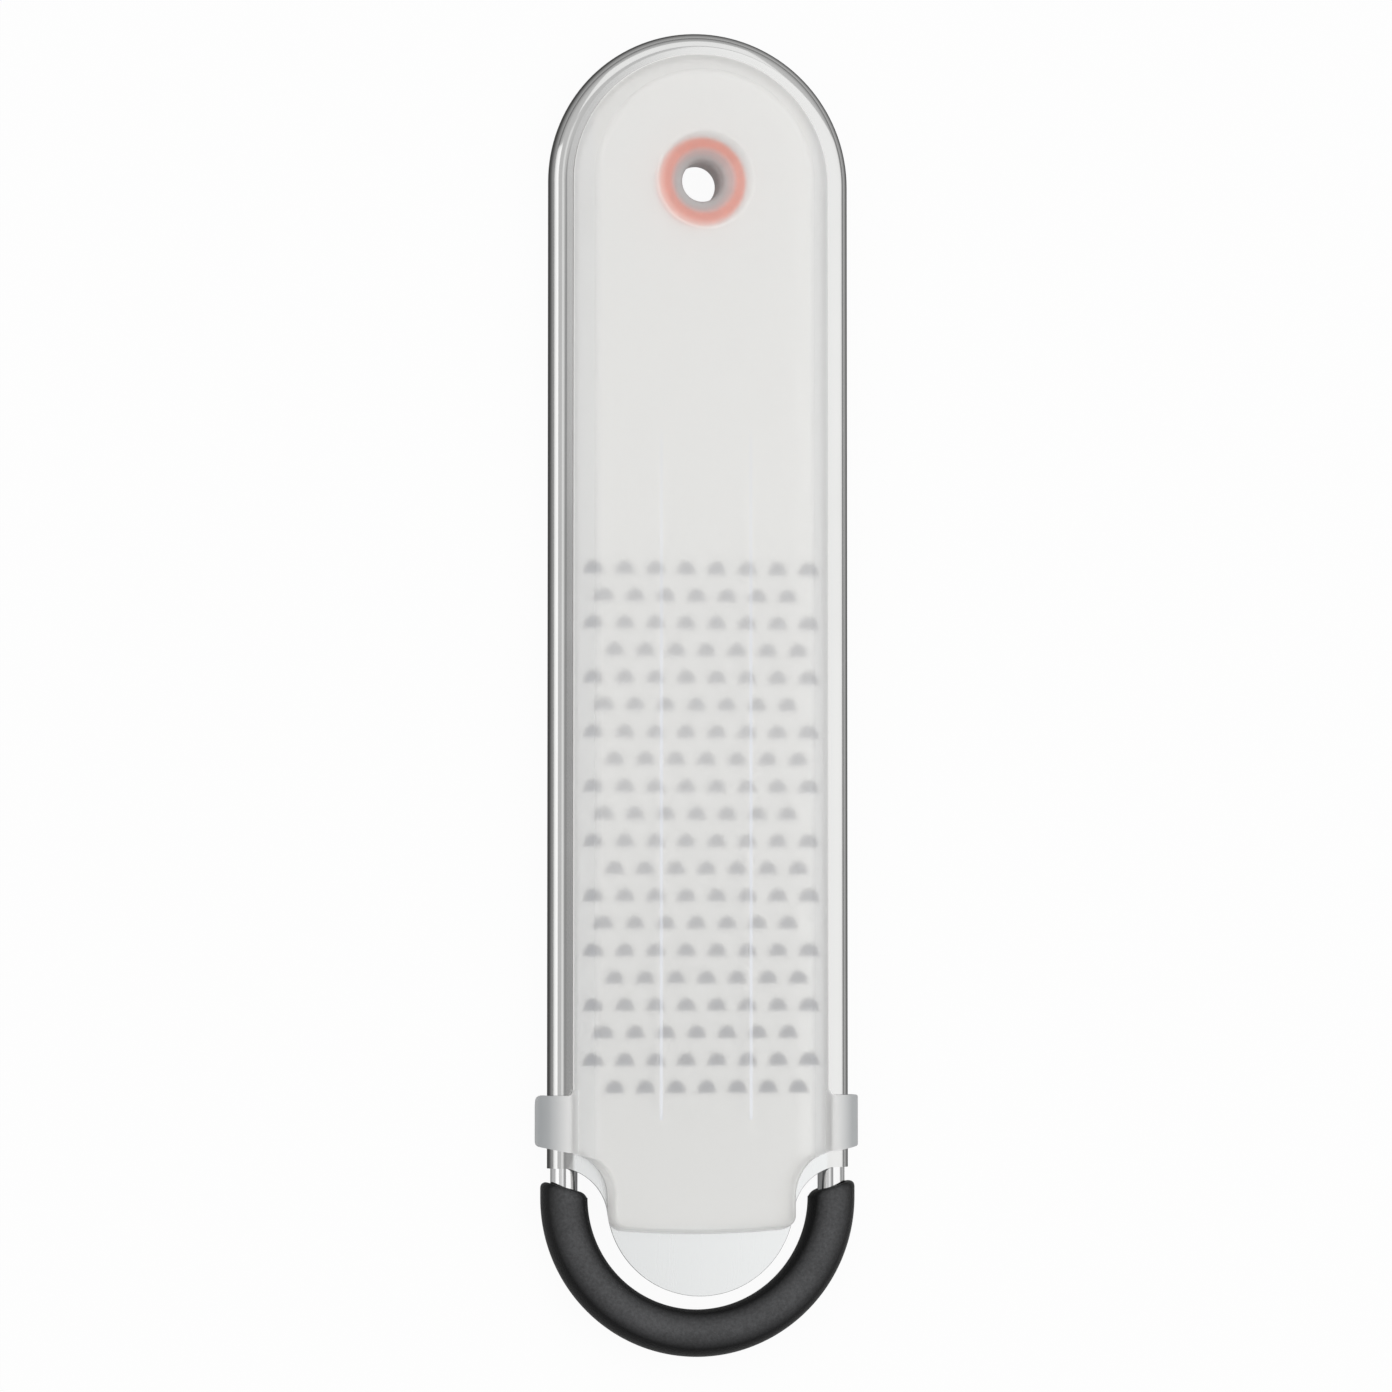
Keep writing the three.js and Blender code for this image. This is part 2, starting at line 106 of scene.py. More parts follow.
# Details that the part's solids leave out or have more coarsely
TOOTH_EDGE_THICKNESS = 0.25
TOOTH_BEND_SOFTNESS = 0.12
TOOTH_SIDE_SAG = 0.18
SHEET_EDGE_ROUND = 0.07
ROD_BEVEL = 0.5
GRIP_MOUTH_ROUND = 0.25
EYELET_FOOT_ROUND = 0.3
EYELET_GROOVE_ROUND = 0.12
EYELET_FLANGE_ROUND = 0.45
COVER_BASE_ROUND = 0.3
COVER_BASE_DRAFT = 0.06
COVER_FOOT_ROUND_SHARE = 0.5
DISH_ROUND = 0.9
DISH_RING = 1.2
BOSS_ROUND = 0.3
BOSS_ROOT_ROUND = 0.8
CLIP_FILLET = 1.2
CLIP_FILLET_RISE = (1.5, 3.0)
CLIP_BEVEL = 0.3
CLIP_BEVEL_FROM_DEG = 40.0

# Places that follow from the sizes
CURL_RADIUS = ROD_DIAMETER / 2 + ROD_PLAY + SHEET
LOOP_RADIUS = PLATE_WIDTH / 2 - CURL_RADIUS
ROD_Z = GRIP_DIAMETER / 2
FACE_Z = ROD_Z + CURL_RADIUS
ARCH_Y = OVERALL_LENGTH / 2 - PLATE_WIDTH / 2
LOOP_Y = -OVERALL_LENGTH / 2 + GRIP_DIAMETER / 2 + LOOP_RADIUS
RIM_END_Y = LOOP_Y + RIM_END
EYELET_HOLE_RADIUS = EYELET_BARREL_RADIUS + FIT_GAP
COVER_BASE_Z = FACE_Z + FIT_GAP
COVER_TOP_Z = FACE_Z + COVER_HEIGHT
COVER_CEILING_Z = COVER_TOP_Z - COVER_WALL
COVER_HALF = LOOP_RADIUS - COVER_INSET
COVER_TOP_HALF = COVER_HALF - COVER_SIDE_SLOPE
COVER_FOOT_Y = LOOP_Y - COVER_FOOT
COVER_SHOULDER_Y = LOOP_Y + COVER_SHOULDER_TOP
RIB_TOP_Y = ARCH_Y - RIB_BELOW_ARCH
RIB_FOOT_Y = RIM_END_Y + RIB_ABOVE_RIM_END

# Fineness of the meshes
ARCH_STEPS = 72
CURL_STEPS = 30
TONGUE_STEPS = 36
SHOULDER_STEPS = 24
EYELET_HOLE_STEPS = 64
HINGE_STEPS = 8
TOOTH_ARCH_STEPS = 12
SCALE_ROWS = 4
LOOP_STEPS = 96
ROD_SIDES = 40
GRIP_SIDES = 56
GRIP_END_STEPS = 7
LATHE_STEPS = 96
COVER_FOOT_STEPS = 8
COVER_CORNER_STEPS = 12
COVER_ARCH_STEPS = 36
COVER_EDGE_STEPS = 8
CLIP_INNER_STEPS = 16
CLIP_OUTER_STEPS = 20
CLIP_CORNER_STEPS = 12
CLIP_EDGE_STEPS = 10
CLIP_BEVEL_STEPS = 3

# Edges that turn by more than this stay hard
SHARP_DEG = 30.0
SHEET_SHARP_DEG = 32.0
GRIP_SHARP_DEG = 40.0
EYELET_SHARP_DEG = 50.0
COVER_SHARP_DEG = 28.0

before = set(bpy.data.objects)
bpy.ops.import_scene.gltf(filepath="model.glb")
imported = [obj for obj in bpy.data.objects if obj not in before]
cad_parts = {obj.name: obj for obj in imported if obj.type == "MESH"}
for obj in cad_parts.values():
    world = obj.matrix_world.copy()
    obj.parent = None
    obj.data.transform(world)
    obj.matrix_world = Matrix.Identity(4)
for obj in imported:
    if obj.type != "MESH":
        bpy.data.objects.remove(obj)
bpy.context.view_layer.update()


# Mesh helpers

WELD_M = 1e-6
MERGE = 1e-5
INSIDE_ONLY = 1
CORNER_LIMIT = 2.2


def arc(x, y, radius, start, end, steps):
    """Points on an arc about (x, y) between two angles in degrees, both ends included."""
    angles = np.radians(np.linspace(start, end, steps + 1))
    return [(x + radius * math.cos(a), y + radius * math.sin(a)) for a in angles]


def mirrored(points):
    """The points left and right swapped, in the opposite order."""
    return [(-x, y) for x, y in reversed(points)]


def angle_deg(start, end):
    """The direction from one point to another."""
    return math.degrees(math.atan2(end[1] - start[1], end[0] - start[0]))


def encloses(loop, x, y):
    """True if the closed loop of points goes round (x, y)."""
    crossings = 0
    for (ax, ay), (bx, by) in zip(loop, loop[1:] + loop[:1]):
        if (ay > y) != (by > y) and x < ax + (bx - ax) * (y - ay) / (by - ay):
            crossings += 1
    return crossings % 2 == 1


def rounded(points, radius, steps=4):
    """An open profile with each inner corner replaced by an arc-like curve of about the given radius."""
    out = [points[0]]
    for before, here, after in zip(points, points[1:], points[2:]):
        a, b, c = (np.array(p, float) for p in (before, here, after))
        to_a, to_c = np.linalg.norm(a - b), np.linalg.norm(c - b)
        reach = min(radius, to_a / CORNER_LIMIT, to_c / CORNER_LIMIT)
        start, end = b + (a - b) / to_a * reach, b + (c - b) / to_c * reach
        for t in np.linspace(0, 1, steps + 1):
            out.append(tuple((1 - t) ** 2 * start + 2 * t * (1 - t) * b + t * t * end))
    out.append(points[-1])
    return out


def triangulated(loops):
    """Triangles between closed loops of points: the points, the triangles, and the loops' points by their place."""
    flat, edges = [], []
    for loop in loops:
        first, count = len(flat), len(loop)
        flat.extend(Vector(p) for p in loop)
        edges.extend((first + i, first + (i + 1) % count) for i in range(count))
    points, _, triangles, origins, _, _ = delaunay_2d_cdt(flat, edges, [], INSIDE_ONLY, MERGE, True)
    index = {old: new for new, olds in enumerate(origins) for old in olds}
    return points, triangles, index


def middle_of(points, triangle):
    return sum((points[i] for i in triangle), Vector((0, 0))) / 3


class Builder:
    """Collects vertices in millimetres and faces, and makes one mesh object of them."""

    def __init__(self):
        self.verts = []
        self.faces = []

    def add(self, points):
        first = len(self.verts)
        self.verts.extend(points)
        return list(range(first, len(self.verts)))

    def strip(self, low, high, closed=True):
        """Faces between two rows of vertices of equal length."""
        count = len(low)
        for i in range(count if closed else count - 1):
            j = (i + 1) % count
            self.faces.append((low[i], low[j], high[j], high[i]))

    def strips(self, rows, closed=True):
        for low, high in zip(rows, rows[1:]):
            self.strip(low, high, closed)

    def ends(self, first, last):
        """A face across each end of a row of rings."""
        self.faces.append(tuple(reversed(first)))
        self.faces.append(tuple(last))

    def lathe(self, profile, y):
        """Rings of a turned profile of (radius, z) about the vertical axis at (0, y)."""
        turns = np.linspace(0, 2 * math.pi, LATHE_STEPS, endpoint=False)
        return [self.add([(r * math.cos(t), y + r * math.sin(t), z) for t in turns]) for r, z in profile]

    def object(self, name, sharp_deg=SHARP_DEG):
        """An object with consistent outward faces, smooth but for its sharp edges."""
        mesh = bpy.data.meshes.new(name)
        mesh.from_pydata([(x * MM, y * MM, z * MM) for x, y, z in self.verts], [], self.faces)
        work = bmesh.new()
        work.from_mesh(mesh)
        bmesh.ops.remove_doubles(work, verts=work.verts, dist=WELD_M)
        bmesh.ops.recalc_face_normals(work, faces=work.faces)
        work.to_mesh(mesh)
        work.free()
        smooth(mesh, sharp_deg)
        obj = bpy.data.objects.new(name, mesh)
        bpy.context.scene.collection.objects.link(obj)
        return obj


def smooth(mesh, sharp_deg):
    mesh.shade_smooth()
    mesh.set_sharp_from_angle(angle=math.radians(sharp_deg))


def prism(points, depth, place):
    """A closed prism of an outline, placed by a function of the outline's two numbers and the depth."""
    build = Builder()
    low = build.add([place(a, b, 0.0) for a, b in points])
    high = build.add([place(a, b, depth) for a, b in points])
    build.strip(low, high)
    build.ends(low, high)
    return build.object("prism")


def apply_modifiers(obj):
    """Puts the result of the object's modifiers into its mesh."""
    graph = bpy.context.evaluated_depsgraph_get()
    graph.update()
    mesh = bpy.data.meshes.new_from_object(obj.evaluated_get(graph))
    obj.modifiers.clear()
    old = obj.data
    obj.data = mesh
    bpy.data.meshes.remove(old)


def combine(obj, other, operation):
    """Joins another solid to this one, or keeps what both share, and deletes the other."""
    mod = obj.modifiers.new("combine", "BOOLEAN")
    mod.operation = operation
    mod.solver = "EXACT"
    mod.object = other
    apply_modifiers(obj)
    mesh = other.data
    bpy.data.objects.remove(other)
    bpy.data.meshes.remove(mesh)


def weight_normals(obj):
    mod = obj.modifiers.new("normals", "WEIGHTED_NORMAL")
    mod.keep_sharp = True


def settle(obj, body, node, material):
    """Gives a piece its material, and its place in the frame."""
    obj.data.materials.clear()
    obj.data.materials.append(material)
    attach(obj, body)
    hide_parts(node)


# The sheet: a flat face with raised teeth, whose edge curls round the rod

EYELET_HOLE_SLACK = 0.02


def tangent_centre(first, first_distance, second, second_distance):
    """The centre at one distance from a first point and another from a second, on the lower right."""
    a, b = np.array(first), np.array(second)
    gap = np.linalg.norm(b - a)
    along = (first_distance**2 - second_distance**2 + gap**2) / (2 * gap)
    aside = math.sqrt(first_distance**2 - along**2)
    way = (b - a) / gap
    return tuple(a + way * along + np.array((way[1], -way[0])) * aside)


def lower_edge(inset):
    """The sheet's lower edge from the left rim end, round the tongue, to the right rim end."""
    tongue = (0.0, LOOP_Y - TONGUE_DROP)
    corner = (LOOP_RADIUS, RIM_END_Y)
    shoulder = tangent_centre(tongue, TONGUE_RADIUS + SHOULDER_RADIUS, corner, SHOULDER_RADIUS)
    lean = angle_deg(tongue, shoulder)
    turn = (180 + lean, angle_deg(shoulder, corner))
    curve = arc(*tongue, TONGUE_RADIUS - inset, 270, 360 + lean, TONGUE_STEPS)
    curve += arc(*shoulder, SHOULDER_RADIUS + inset, *turn, SHOULDER_STEPS)[1:]
    curve[-1] = corner
    return mirrored(curve) + curve[1:]


def tooth_places():
    """The middle of each tooth's straight base."""
    first_y = RIM_END_Y + TOOTH_FIELD_ABOVE_RIM_END
    places = []
    for row in range(TOOTH_ROWS):
        shift = ROW_SHIFTS[(row + ROW_SHIFT_START) % len(ROW_SHIFTS)]
        count = TOOTH_FULL_ROW if shift == 0 else TOOTH_FULL_ROW - 1
        y = first_y + row * TOOTH_PITCH_Y
        places += [((i - (count - 1) / 2 + shift) * TOOTH_PITCH_X, y) for i in range(count)]
    return places


def tooth_hole(x, y):
    """The hole's outline: its straight base from left to right, then its arch back."""
    width, length = TOOTH_HALF_WIDTH + TOOTH_HOLE_MARGIN, TOOTH_LENGTH + TOOTH_HOLE_MARGIN
    hinge = [(x + TOOTH_HALF_WIDTH * s, y) for s in np.linspace(-1, 1, HINGE_STEPS + 1)]
    arch = [(x + width * a, y + length * b) for a, b in arc(0, 0, 1, 0, 180, TOOTH_ARCH_STEPS)]
    return [(x - width, y), *hinge, *arch[:-1]]


def add_flat(build, loops, places):
    """The sheet's flat skins between its loops, and each loop's vertices in the upper and the lower skin."""
    points, triangles, index = triangulated(loops)
    bases = np.array(places)
    hole_size = np.array((TOOTH_HALF_WIDTH, TOOTH_LENGTH)) + TOOTH_HOLE_MARGIN
    top = build.add([(p.x, p.y, FACE_Z) for p in points])
    under = build.add([(p.x, p.y, FACE_Z - SHEET) for p in points])
    for a, b, c in triangles:
        x, y = middle_of(points, (a, b, c))
        away = (np.array((x, y)) - bases) / hole_size
        in_tooth = (away[:, 1] > 0) & (np.hypot(away[:, 0], away[:, 1]) < 1)
        in_eyelet = math.hypot(x, y - ARCH_Y) < EYELET_HOLE_RADIUS - EYELET_HOLE_SLACK
        on_sheet = y > RIM_END_Y or encloses(loops[0], x, y)
        if on_sheet and not in_tooth.any() and not in_eyelet:
            build.faces.append((top[a], top[b], top[c]))
            build.faces.append((under[c], under[b], under[a]))
    rows, first = [], 0
    for loop in loops:
        ids = [index[first + i] for i in range(len(loop))]
        rows.append(([top[i] for i in ids], [under[i] for i in ids]))
        first += len(loop)
    return rows


def raise_tooth(build, x, y, hinge_top, hinge_under):
    """An arched scale that bends up from its straight base to a thinner, sharpened cutting edge."""
    rise = math.tan(math.radians(TOOTH_ANGLE_DEG))

    def column(s, z, thinner):
        reach = TOOTH_LENGTH * math.sqrt(1 - s * s)
        out = []
        for t in np.linspace(0, 1, SCALE_ROWS + 1)[1:]:
            dy = reach * t
            bend = math.hypot(dy, TOOTH_BEND_SOFTNESS) - TOOTH_BEND_SOFTNESS
            lift = rise * bend * (1 - TOOTH_SIDE_SAG * s * s)
            out.append((x + TOOTH_HALF_WIDTH * s, y + dy, z + lift + thinner * t))
        return out

    spots = np.linspace(-1, 1, HINGE_STEPS + 1)[1:-1]
    upper = (hinge_top, FACE_Z, 0.0)
    lower = (hinge_under, FACE_Z - SHEET, SHEET - TOOTH_EDGE_THICKNESS)
    skins = []
    for hinge, z, thinner in (upper, lower):
        columns = [[hinge[i + 1], *build.add(column(s, z, thinner))] for i, s in enumerate(spots)]
        build.strips(columns, closed=False)
        for corner, side in ((hinge[0], columns[0]), (hinge[-1], columns[-1])):
            build.faces.extend((corner, a, b) for a, b in zip(side, side[1:]))
        skins.append([hinge[0], *[c[-1] for c in columns], hinge[-1]])
    build.strip(*skins, closed=False)


def add_tooth(build, place, top, under):
    """The walls of a tooth's hole, and the tooth that rises from its straight side."""
    hinge = slice(1, HINGE_STEPS + 2)
    arch = slice(HINGE_STEPS + 1, None)
    build.strip(top[:2], under[:2], closed=False)
    build.strip(top[arch] + top[:1], under[arch] + under[:1], closed=False)
    raise_tooth(build, *place, top[hinge], under[hinge])


def add_foot_edge(build, rim_top, rim_under, foot_top, foot_under):
    """The rounded lower edge, and the corners where it meets the rim."""
    edge = lower_edge(0.0)[1:-1]
    levels = (FACE_Z - SHEET_EDGE_ROUND, FACE_Z - SHEET + SHEET_EDGE_ROUND)
    bands = [foot_top, *[build.add([(x, y, z) for x, y in edge]) for z in levels], foot_under]
    build.strips(bands, closed=False)
    for rim_id, end in ((-1, 0), (0, -1)):
        build.faces.append((rim_top[rim_id], *[band[end] for band in bands], rim_under[rim_id]))


def add_curl(build, rim, rim_top, rim_under):
    """The curl: an outer skin down from the face's edge, the lip, and an inner skin back up."""
    turn = [math.radians(90 - CURL_WRAP_DEG * i / CURL_STEPS) for i in range(1, CURL_STEPS + 1)]
    ways = [(1.0, 0.0)] + arc(0, 0, 1, 0, 180, ARCH_STEPS) + [(-1.0, 0.0)]
    skins = []
    for edge, radius in ((rim_top, CURL_RADIUS), (rim_under, CURL_RADIUS - SHEET)):
        rows = [edge]
        for a in turn:
            out, z = radius * math.cos(a), ROD_Z + radius * math.sin(a)
            rows.append(build.add([(x + wx * out, y + wy * out, z) for (x, y), (wx, wy) in zip(rim, ways)]))
        skins.append(rows)
    for rows in skins:
        build.strips(rows, closed=False)
    outer, inner = skins
    build.strip(outer[-1], inner[-1], closed=False)
    for end in (0, -1):
        for k in range(CURL_STEPS):
            build.faces.append((outer[k][end], outer[k + 1][end], inner[k + 1][end], inner[k][end]))


def make_plate():
    build = Builder()
    rim = [(LOOP_RADIUS, RIM_END_Y)] + arc(0, ARCH_Y, LOOP_RADIUS, 0, 180, ARCH_STEPS)
    rim.append((-LOOP_RADIUS, RIM_END_Y))
    foot = lower_edge(SHEET_EDGE_ROUND)[1:-1]
    eyelet = arc(0, ARCH_Y, EYELET_HOLE_RADIUS, 0, 360, EYELET_HOLE_STEPS)[:-1]
    places = tooth_places()
    loops = [rim + foot, eyelet] + [tooth_hole(*place) for place in places]
    outline, eyelet_wall, *tooth_walls = add_flat(build, loops, places)
    build.strip(*eyelet_wall)
    for place, wall in zip(places, tooth_walls):
        add_tooth(build, place, *wall)
    rims = [row[: len(rim)] for row in outline]
    add_foot_edge(build, *rims, *[row[len(rim) :] for row in outline])
    add_curl(build, rim, *rims)
    obj = build.object("steel_sheet", SHEET_SHARP_DEG)
    weight_normals(obj)
    return obj


# The rod and its rubber sleeve


def loop_stations(leg_top):
    """Places along the U, each with the direction outwards."""
    stations = [((-LOOP_RADIUS, leg_top), (-1.0, 0.0))]
    for x, y in arc(0, 0, 1, 180, 360, LOOP_STEPS):
        stations.append(((x * LOOP_RADIUS, LOOP_Y + y * LOOP_RADIUS), (x, y)))
    stations.append(((LOOP_RADIUS, leg_top), (1.0, 0.0)))
    return stations


def round_ring(station, radius, sides, along=0.0, slant=0.0):
    """A round section across a station, moved along the U, with its outer side pushed on by a slant."""
    (px, py), (ox, oy) = station
    ring = []
    for a in np.linspace(0, 2 * math.pi, sides, endpoint=False):
        out, up = radius * math.cos(a), radius * math.sin(a)
        push = along + slant * out
        ring.append((px + ox * out - oy * push, py + oy * out + ox * push, ROD_Z + up))
    return ring


def make_rod():
    build = Builder()
    radius = ROD_DIAMETER / 2
    first, *bend, last = loop_stations(ARCH_Y - ROD_END_BELOW_ARCH)
    rings = [
        round_ring(first, radius - ROD_BEVEL, ROD_SIDES),
        round_ring(first, radius, ROD_SIDES, ROD_BEVEL),
        *[round_ring(station, radius, ROD_SIDES) for station in bend],
        round_ring(last, radius, ROD_SIDES, -ROD_BEVEL),
        round_ring(last, radius - ROD_BEVEL, ROD_SIDES),
    ]
    rows = [build.add(ring) for ring in rings]
    build.strips(rows)
    build.ends(rows[0], rows[-1])
    return build.object("polished_rod")


def make_grip():
    build = Builder()
    outer = GRIP_DIAMETER / 2
    bore = ROD_DIAMETER / 2 + GRIP_BORE_PLAY
    slant = math.tan(math.radians(GRIP_END_SLANT_DEG))
    first, *bend, last = loop_stations(LOOP_Y + GRIP_STRAIGHT)
    rolled = []
    for a in np.radians(np.linspace(0, 90, GRIP_END_STEPS + 1)):
        rolled.append((outer - GRIP_END_ROUND * (1 - math.cos(a)), GRIP_END_ROUND * (math.sin(a) - 1)))
    mouth = GRIP_MOUTH_ROUND
    lip = [(bore + mouth, 0.0), (bore + mouth / 3, -mouth / 3), (bore, -mouth)]

    def start(profile):
        return [round_ring(first, r, GRIP_SIDES, -back, -slant) for r, back in reversed(profile)]

    def end(profile):
        return [round_ring(last, r, GRIP_SIDES, back, slant) for r, back in profile]

    outside = start(rolled) + [round_ring(s, outer, GRIP_SIDES) for s in bend] + end(rolled)
    inside = end(lip) + [round_ring(s, bore, GRIP_SIDES) for s in reversed(bend)] + start(lip)
    rows = [build.add(ring) for ring in outside + inside]
    build.strips(rows + rows[:1])
    return build.object("rubber_sleeve", GRIP_SHARP_DEG)


# The eyelet

BORE_SEAM_Z = (4.0, 4.1)


def make_eyelet():
    build = Builder()
    under = FACE_Z - SHEET - FIT_GAP
    over = FACE_Z + FIT_GAP
    top = over + EYELET_FLANGE_HEIGHT
    profile = [
        (EYELET_BORE_RADIUS, BORE_SEAM_Z[0]),
        (EYELET_BORE_RADIUS, 0.0),
        (EYELET_BORE_RADIUS + EYELET_FOOT_WIDTH, 0.0),
        (EYELET_BARREL_RADIUS + EYELET_LIP, under),
        (EYELET_BARREL_RADIUS, under),
        (EYELET_BARREL_RADIUS, over),
        (EYELET_FLANGE_RADIUS, over),
        (EYELET_FLANGE_RADIUS, top),
        (EYELET_BORE_RADIUS, top),
        (EYELET_BORE_RADIUS, BORE_SEAM_Z[1]),
    ]
    fine = rounded(profile[:4], EYELET_FOOT_ROUND)[:-1]
    fine += rounded(profile[3:6], EYELET_GROOVE_ROUND)[:-1]
    fine += rounded(profile[5:], EYELET_FLANGE_ROUND, steps=6)[1:]
    rows = build.lathe(fine, ARCH_Y)
    build.strips(rows + rows[:1])
    return build.object("orange_eyelet", EYELET_SHARP_DEG)


# The cover: one skin outside, one inside, joined at the base edge and through the boss

CAP_SLACK = 0.01
CLIP_SPARE = 2.0
CLIP_ROOT_OVERLAP = 0.2
CUT_Z = (-10.0, 30.0)
CUT_X = 60.0
CUT_SPARE = 1.0


def cover_outline(side_inset, edge_inset):
    """The cover's outline, with its long sides and arch inset by one length, its foot and shoulders by another."""
    half = COVER_HALF - side_inset
    shoulder = (COVER_NECK_HALF + COVER_SHOULDER_RADIUS, COVER_SHOULDER_Y - COVER_SHOULDER_RADIUS)
    shoulder_radius = COVER_SHOULDER_RADIUS + edge_inset
    corner_radius = max(COVER_CORNER_RADIUS - edge_inset, COVER_INNER_CORNER)
    foot = COVER_FOOT_Y + edge_inset
    corner = (COVER_NECK_HALF - edge_inset - corner_radius, foot + corner_radius)
    side_angle = math.degrees(math.acos((half - shoulder[0]) / shoulder_radius))
    right = []
    for t in np.linspace(0, 1, COVER_FOOT_STEPS + 1)[:-1]:
        right.append((corner[0] * t, foot - COVER_FOOT_BOW * (1 - t * t)))
    right += arc(*corner, corner_radius, 270, 360, COVER_CORNER_STEPS)
    right += arc(*shoulder, shoulder_radius, 180, side_angle, SHOULDER_STEPS)
    right += arc(0, ARCH_Y, half, 0, 90, COVER_ARCH_STEPS)
    return right + mirrored(right)[1:-1]


def add_cap(build, ring_ids, hole_ids, upwards):
    """Fills the level space between an outer ring and the ring of the dish."""
    ring, hole = ([build.verts[i][:2] for i in ids] for ids in (ring_ids, hole_ids))
    points, triangles, index = triangulated([ring, hole])
    vertex_of = {index[i]: vertex for i, vertex in enumerate(ring_ids + hole_ids)}
    inside = min(math.hypot(x, y - ARCH_Y) for x, y in hole)
    for triangle in triangles:
        x, y = middle_of(points, triangle)
        if encloses(ring, x, y) and math.hypot(x, y - ARCH_Y) > inside - CAP_SLACK:
            face = [vertex_of[i] for i in triangle]
            build.faces.append(tuple(face if upwards else reversed(face)))


def edge_levels(z_top, side, edge):
    """Levels of (z, side inset, edge inset) over the round edge of a skin, tighter at its foot and shoulders."""
    levels = []
    for a in np.radians(np.linspace(0, 90, COVER_EDGE_STEPS + 1)):
        back, drop = COVER_EDGE_ROUND * (1 - math.cos(a)), COVER_EDGE_ROUND * (1 - math.sin(a))
        levels.append((z_top - drop, side + back, edge + COVER_FOOT_ROUND_SHARE * back))
    return levels


def dish_profile():
    """The profile of (radius, z) from the top, down the dish, round the boss's end and up to the ceiling."""
    floor = FACE_Z + DISH_FLOOR
    rise = (COVER_TOP_Z - floor) / (DISH_RADIUS - BOSS_BORE_RADIUS)
    drop = COVER_WALL * math.hypot(1, rise)
    boss = BOSS_BORE_RADIUS + BOSS_WALL
    under = BOSS_BORE_RADIUS + (COVER_CEILING_Z + drop - floor) / rise
    profile = [
        (DISH_RADIUS + DISH_RING, COVER_TOP_Z),
        (DISH_RADIUS, COVER_TOP_Z),
        (BOSS_BORE_RADIUS, floor),
        (BOSS_BORE_RADIUS, BOSS_END),
        (boss, BOSS_END),
        (boss, floor + rise * BOSS_WALL - drop),
        (under, COVER_CEILING_Z),
        (under + DISH_RING, COVER_CEILING_Z),
    ]
    fine = rounded(profile[:4], DISH_ROUND, steps=6)[:-1]
    fine += rounded(profile[2:6], BOSS_ROUND)[1:-1]
    return fine + rounded(profile[4:], BOSS_ROOT_ROUND, steps=5)[1:]


def make_cover_shell():
    build = Builder()
    base, lip = COVER_BASE_Z, COVER_BASE_ROUND
    outer = [(base, lip, lip), (base + lip, COVER_BASE_DRAFT, 0.0)]
    outer += edge_levels(COVER_TOP_Z, COVER_SIDE_SLOPE, COVER_EDGE_DRAFT)
    inner = [(base, COVER_WALL - lip, COVER_WALL - lip), (base + lip, COVER_WALL, COVER_WALL)]
    inner += edge_levels(COVER_CEILING_Z, COVER_SIDE_SLOPE + COVER_WALL, COVER_EDGE_DRAFT + COVER_WALL)
    skins = []
    for levels in (outer, inner):
        skins.append([build.add([(x, y, z) for x, y in cover_outline(s, e)]) for z, s, e in levels])
    for rows in skins:
        build.strips(rows)
    build.strip(skins[0][0], skins[1][0])
    rows = build.lathe(dish_profile(), ARCH_Y)
    build.strips(rows)
    add_cap(build, skins[0][-1], rows[0], True)
    add_cap(build, skins[1][-1], rows[-1], False)
    return build.object("frosted_cover")


def make_rib(x):
    root = COVER_CEILING_Z + COVER_WALL / 2
    side = [
        (RIB_FOOT_Y, root),
        (RIB_FOOT_Y, COVER_CEILING_Z - RIB_HEIGHT),
        (RIB_TOP_Y, COVER_CEILING_Z - RIB_START_HEIGHT),
        (RIB_TOP_Y, root),
    ]
    return prism(side, RIB_WIDTH, lambda y, z, d: (x - RIB_WIDTH / 2 + d, y, z))


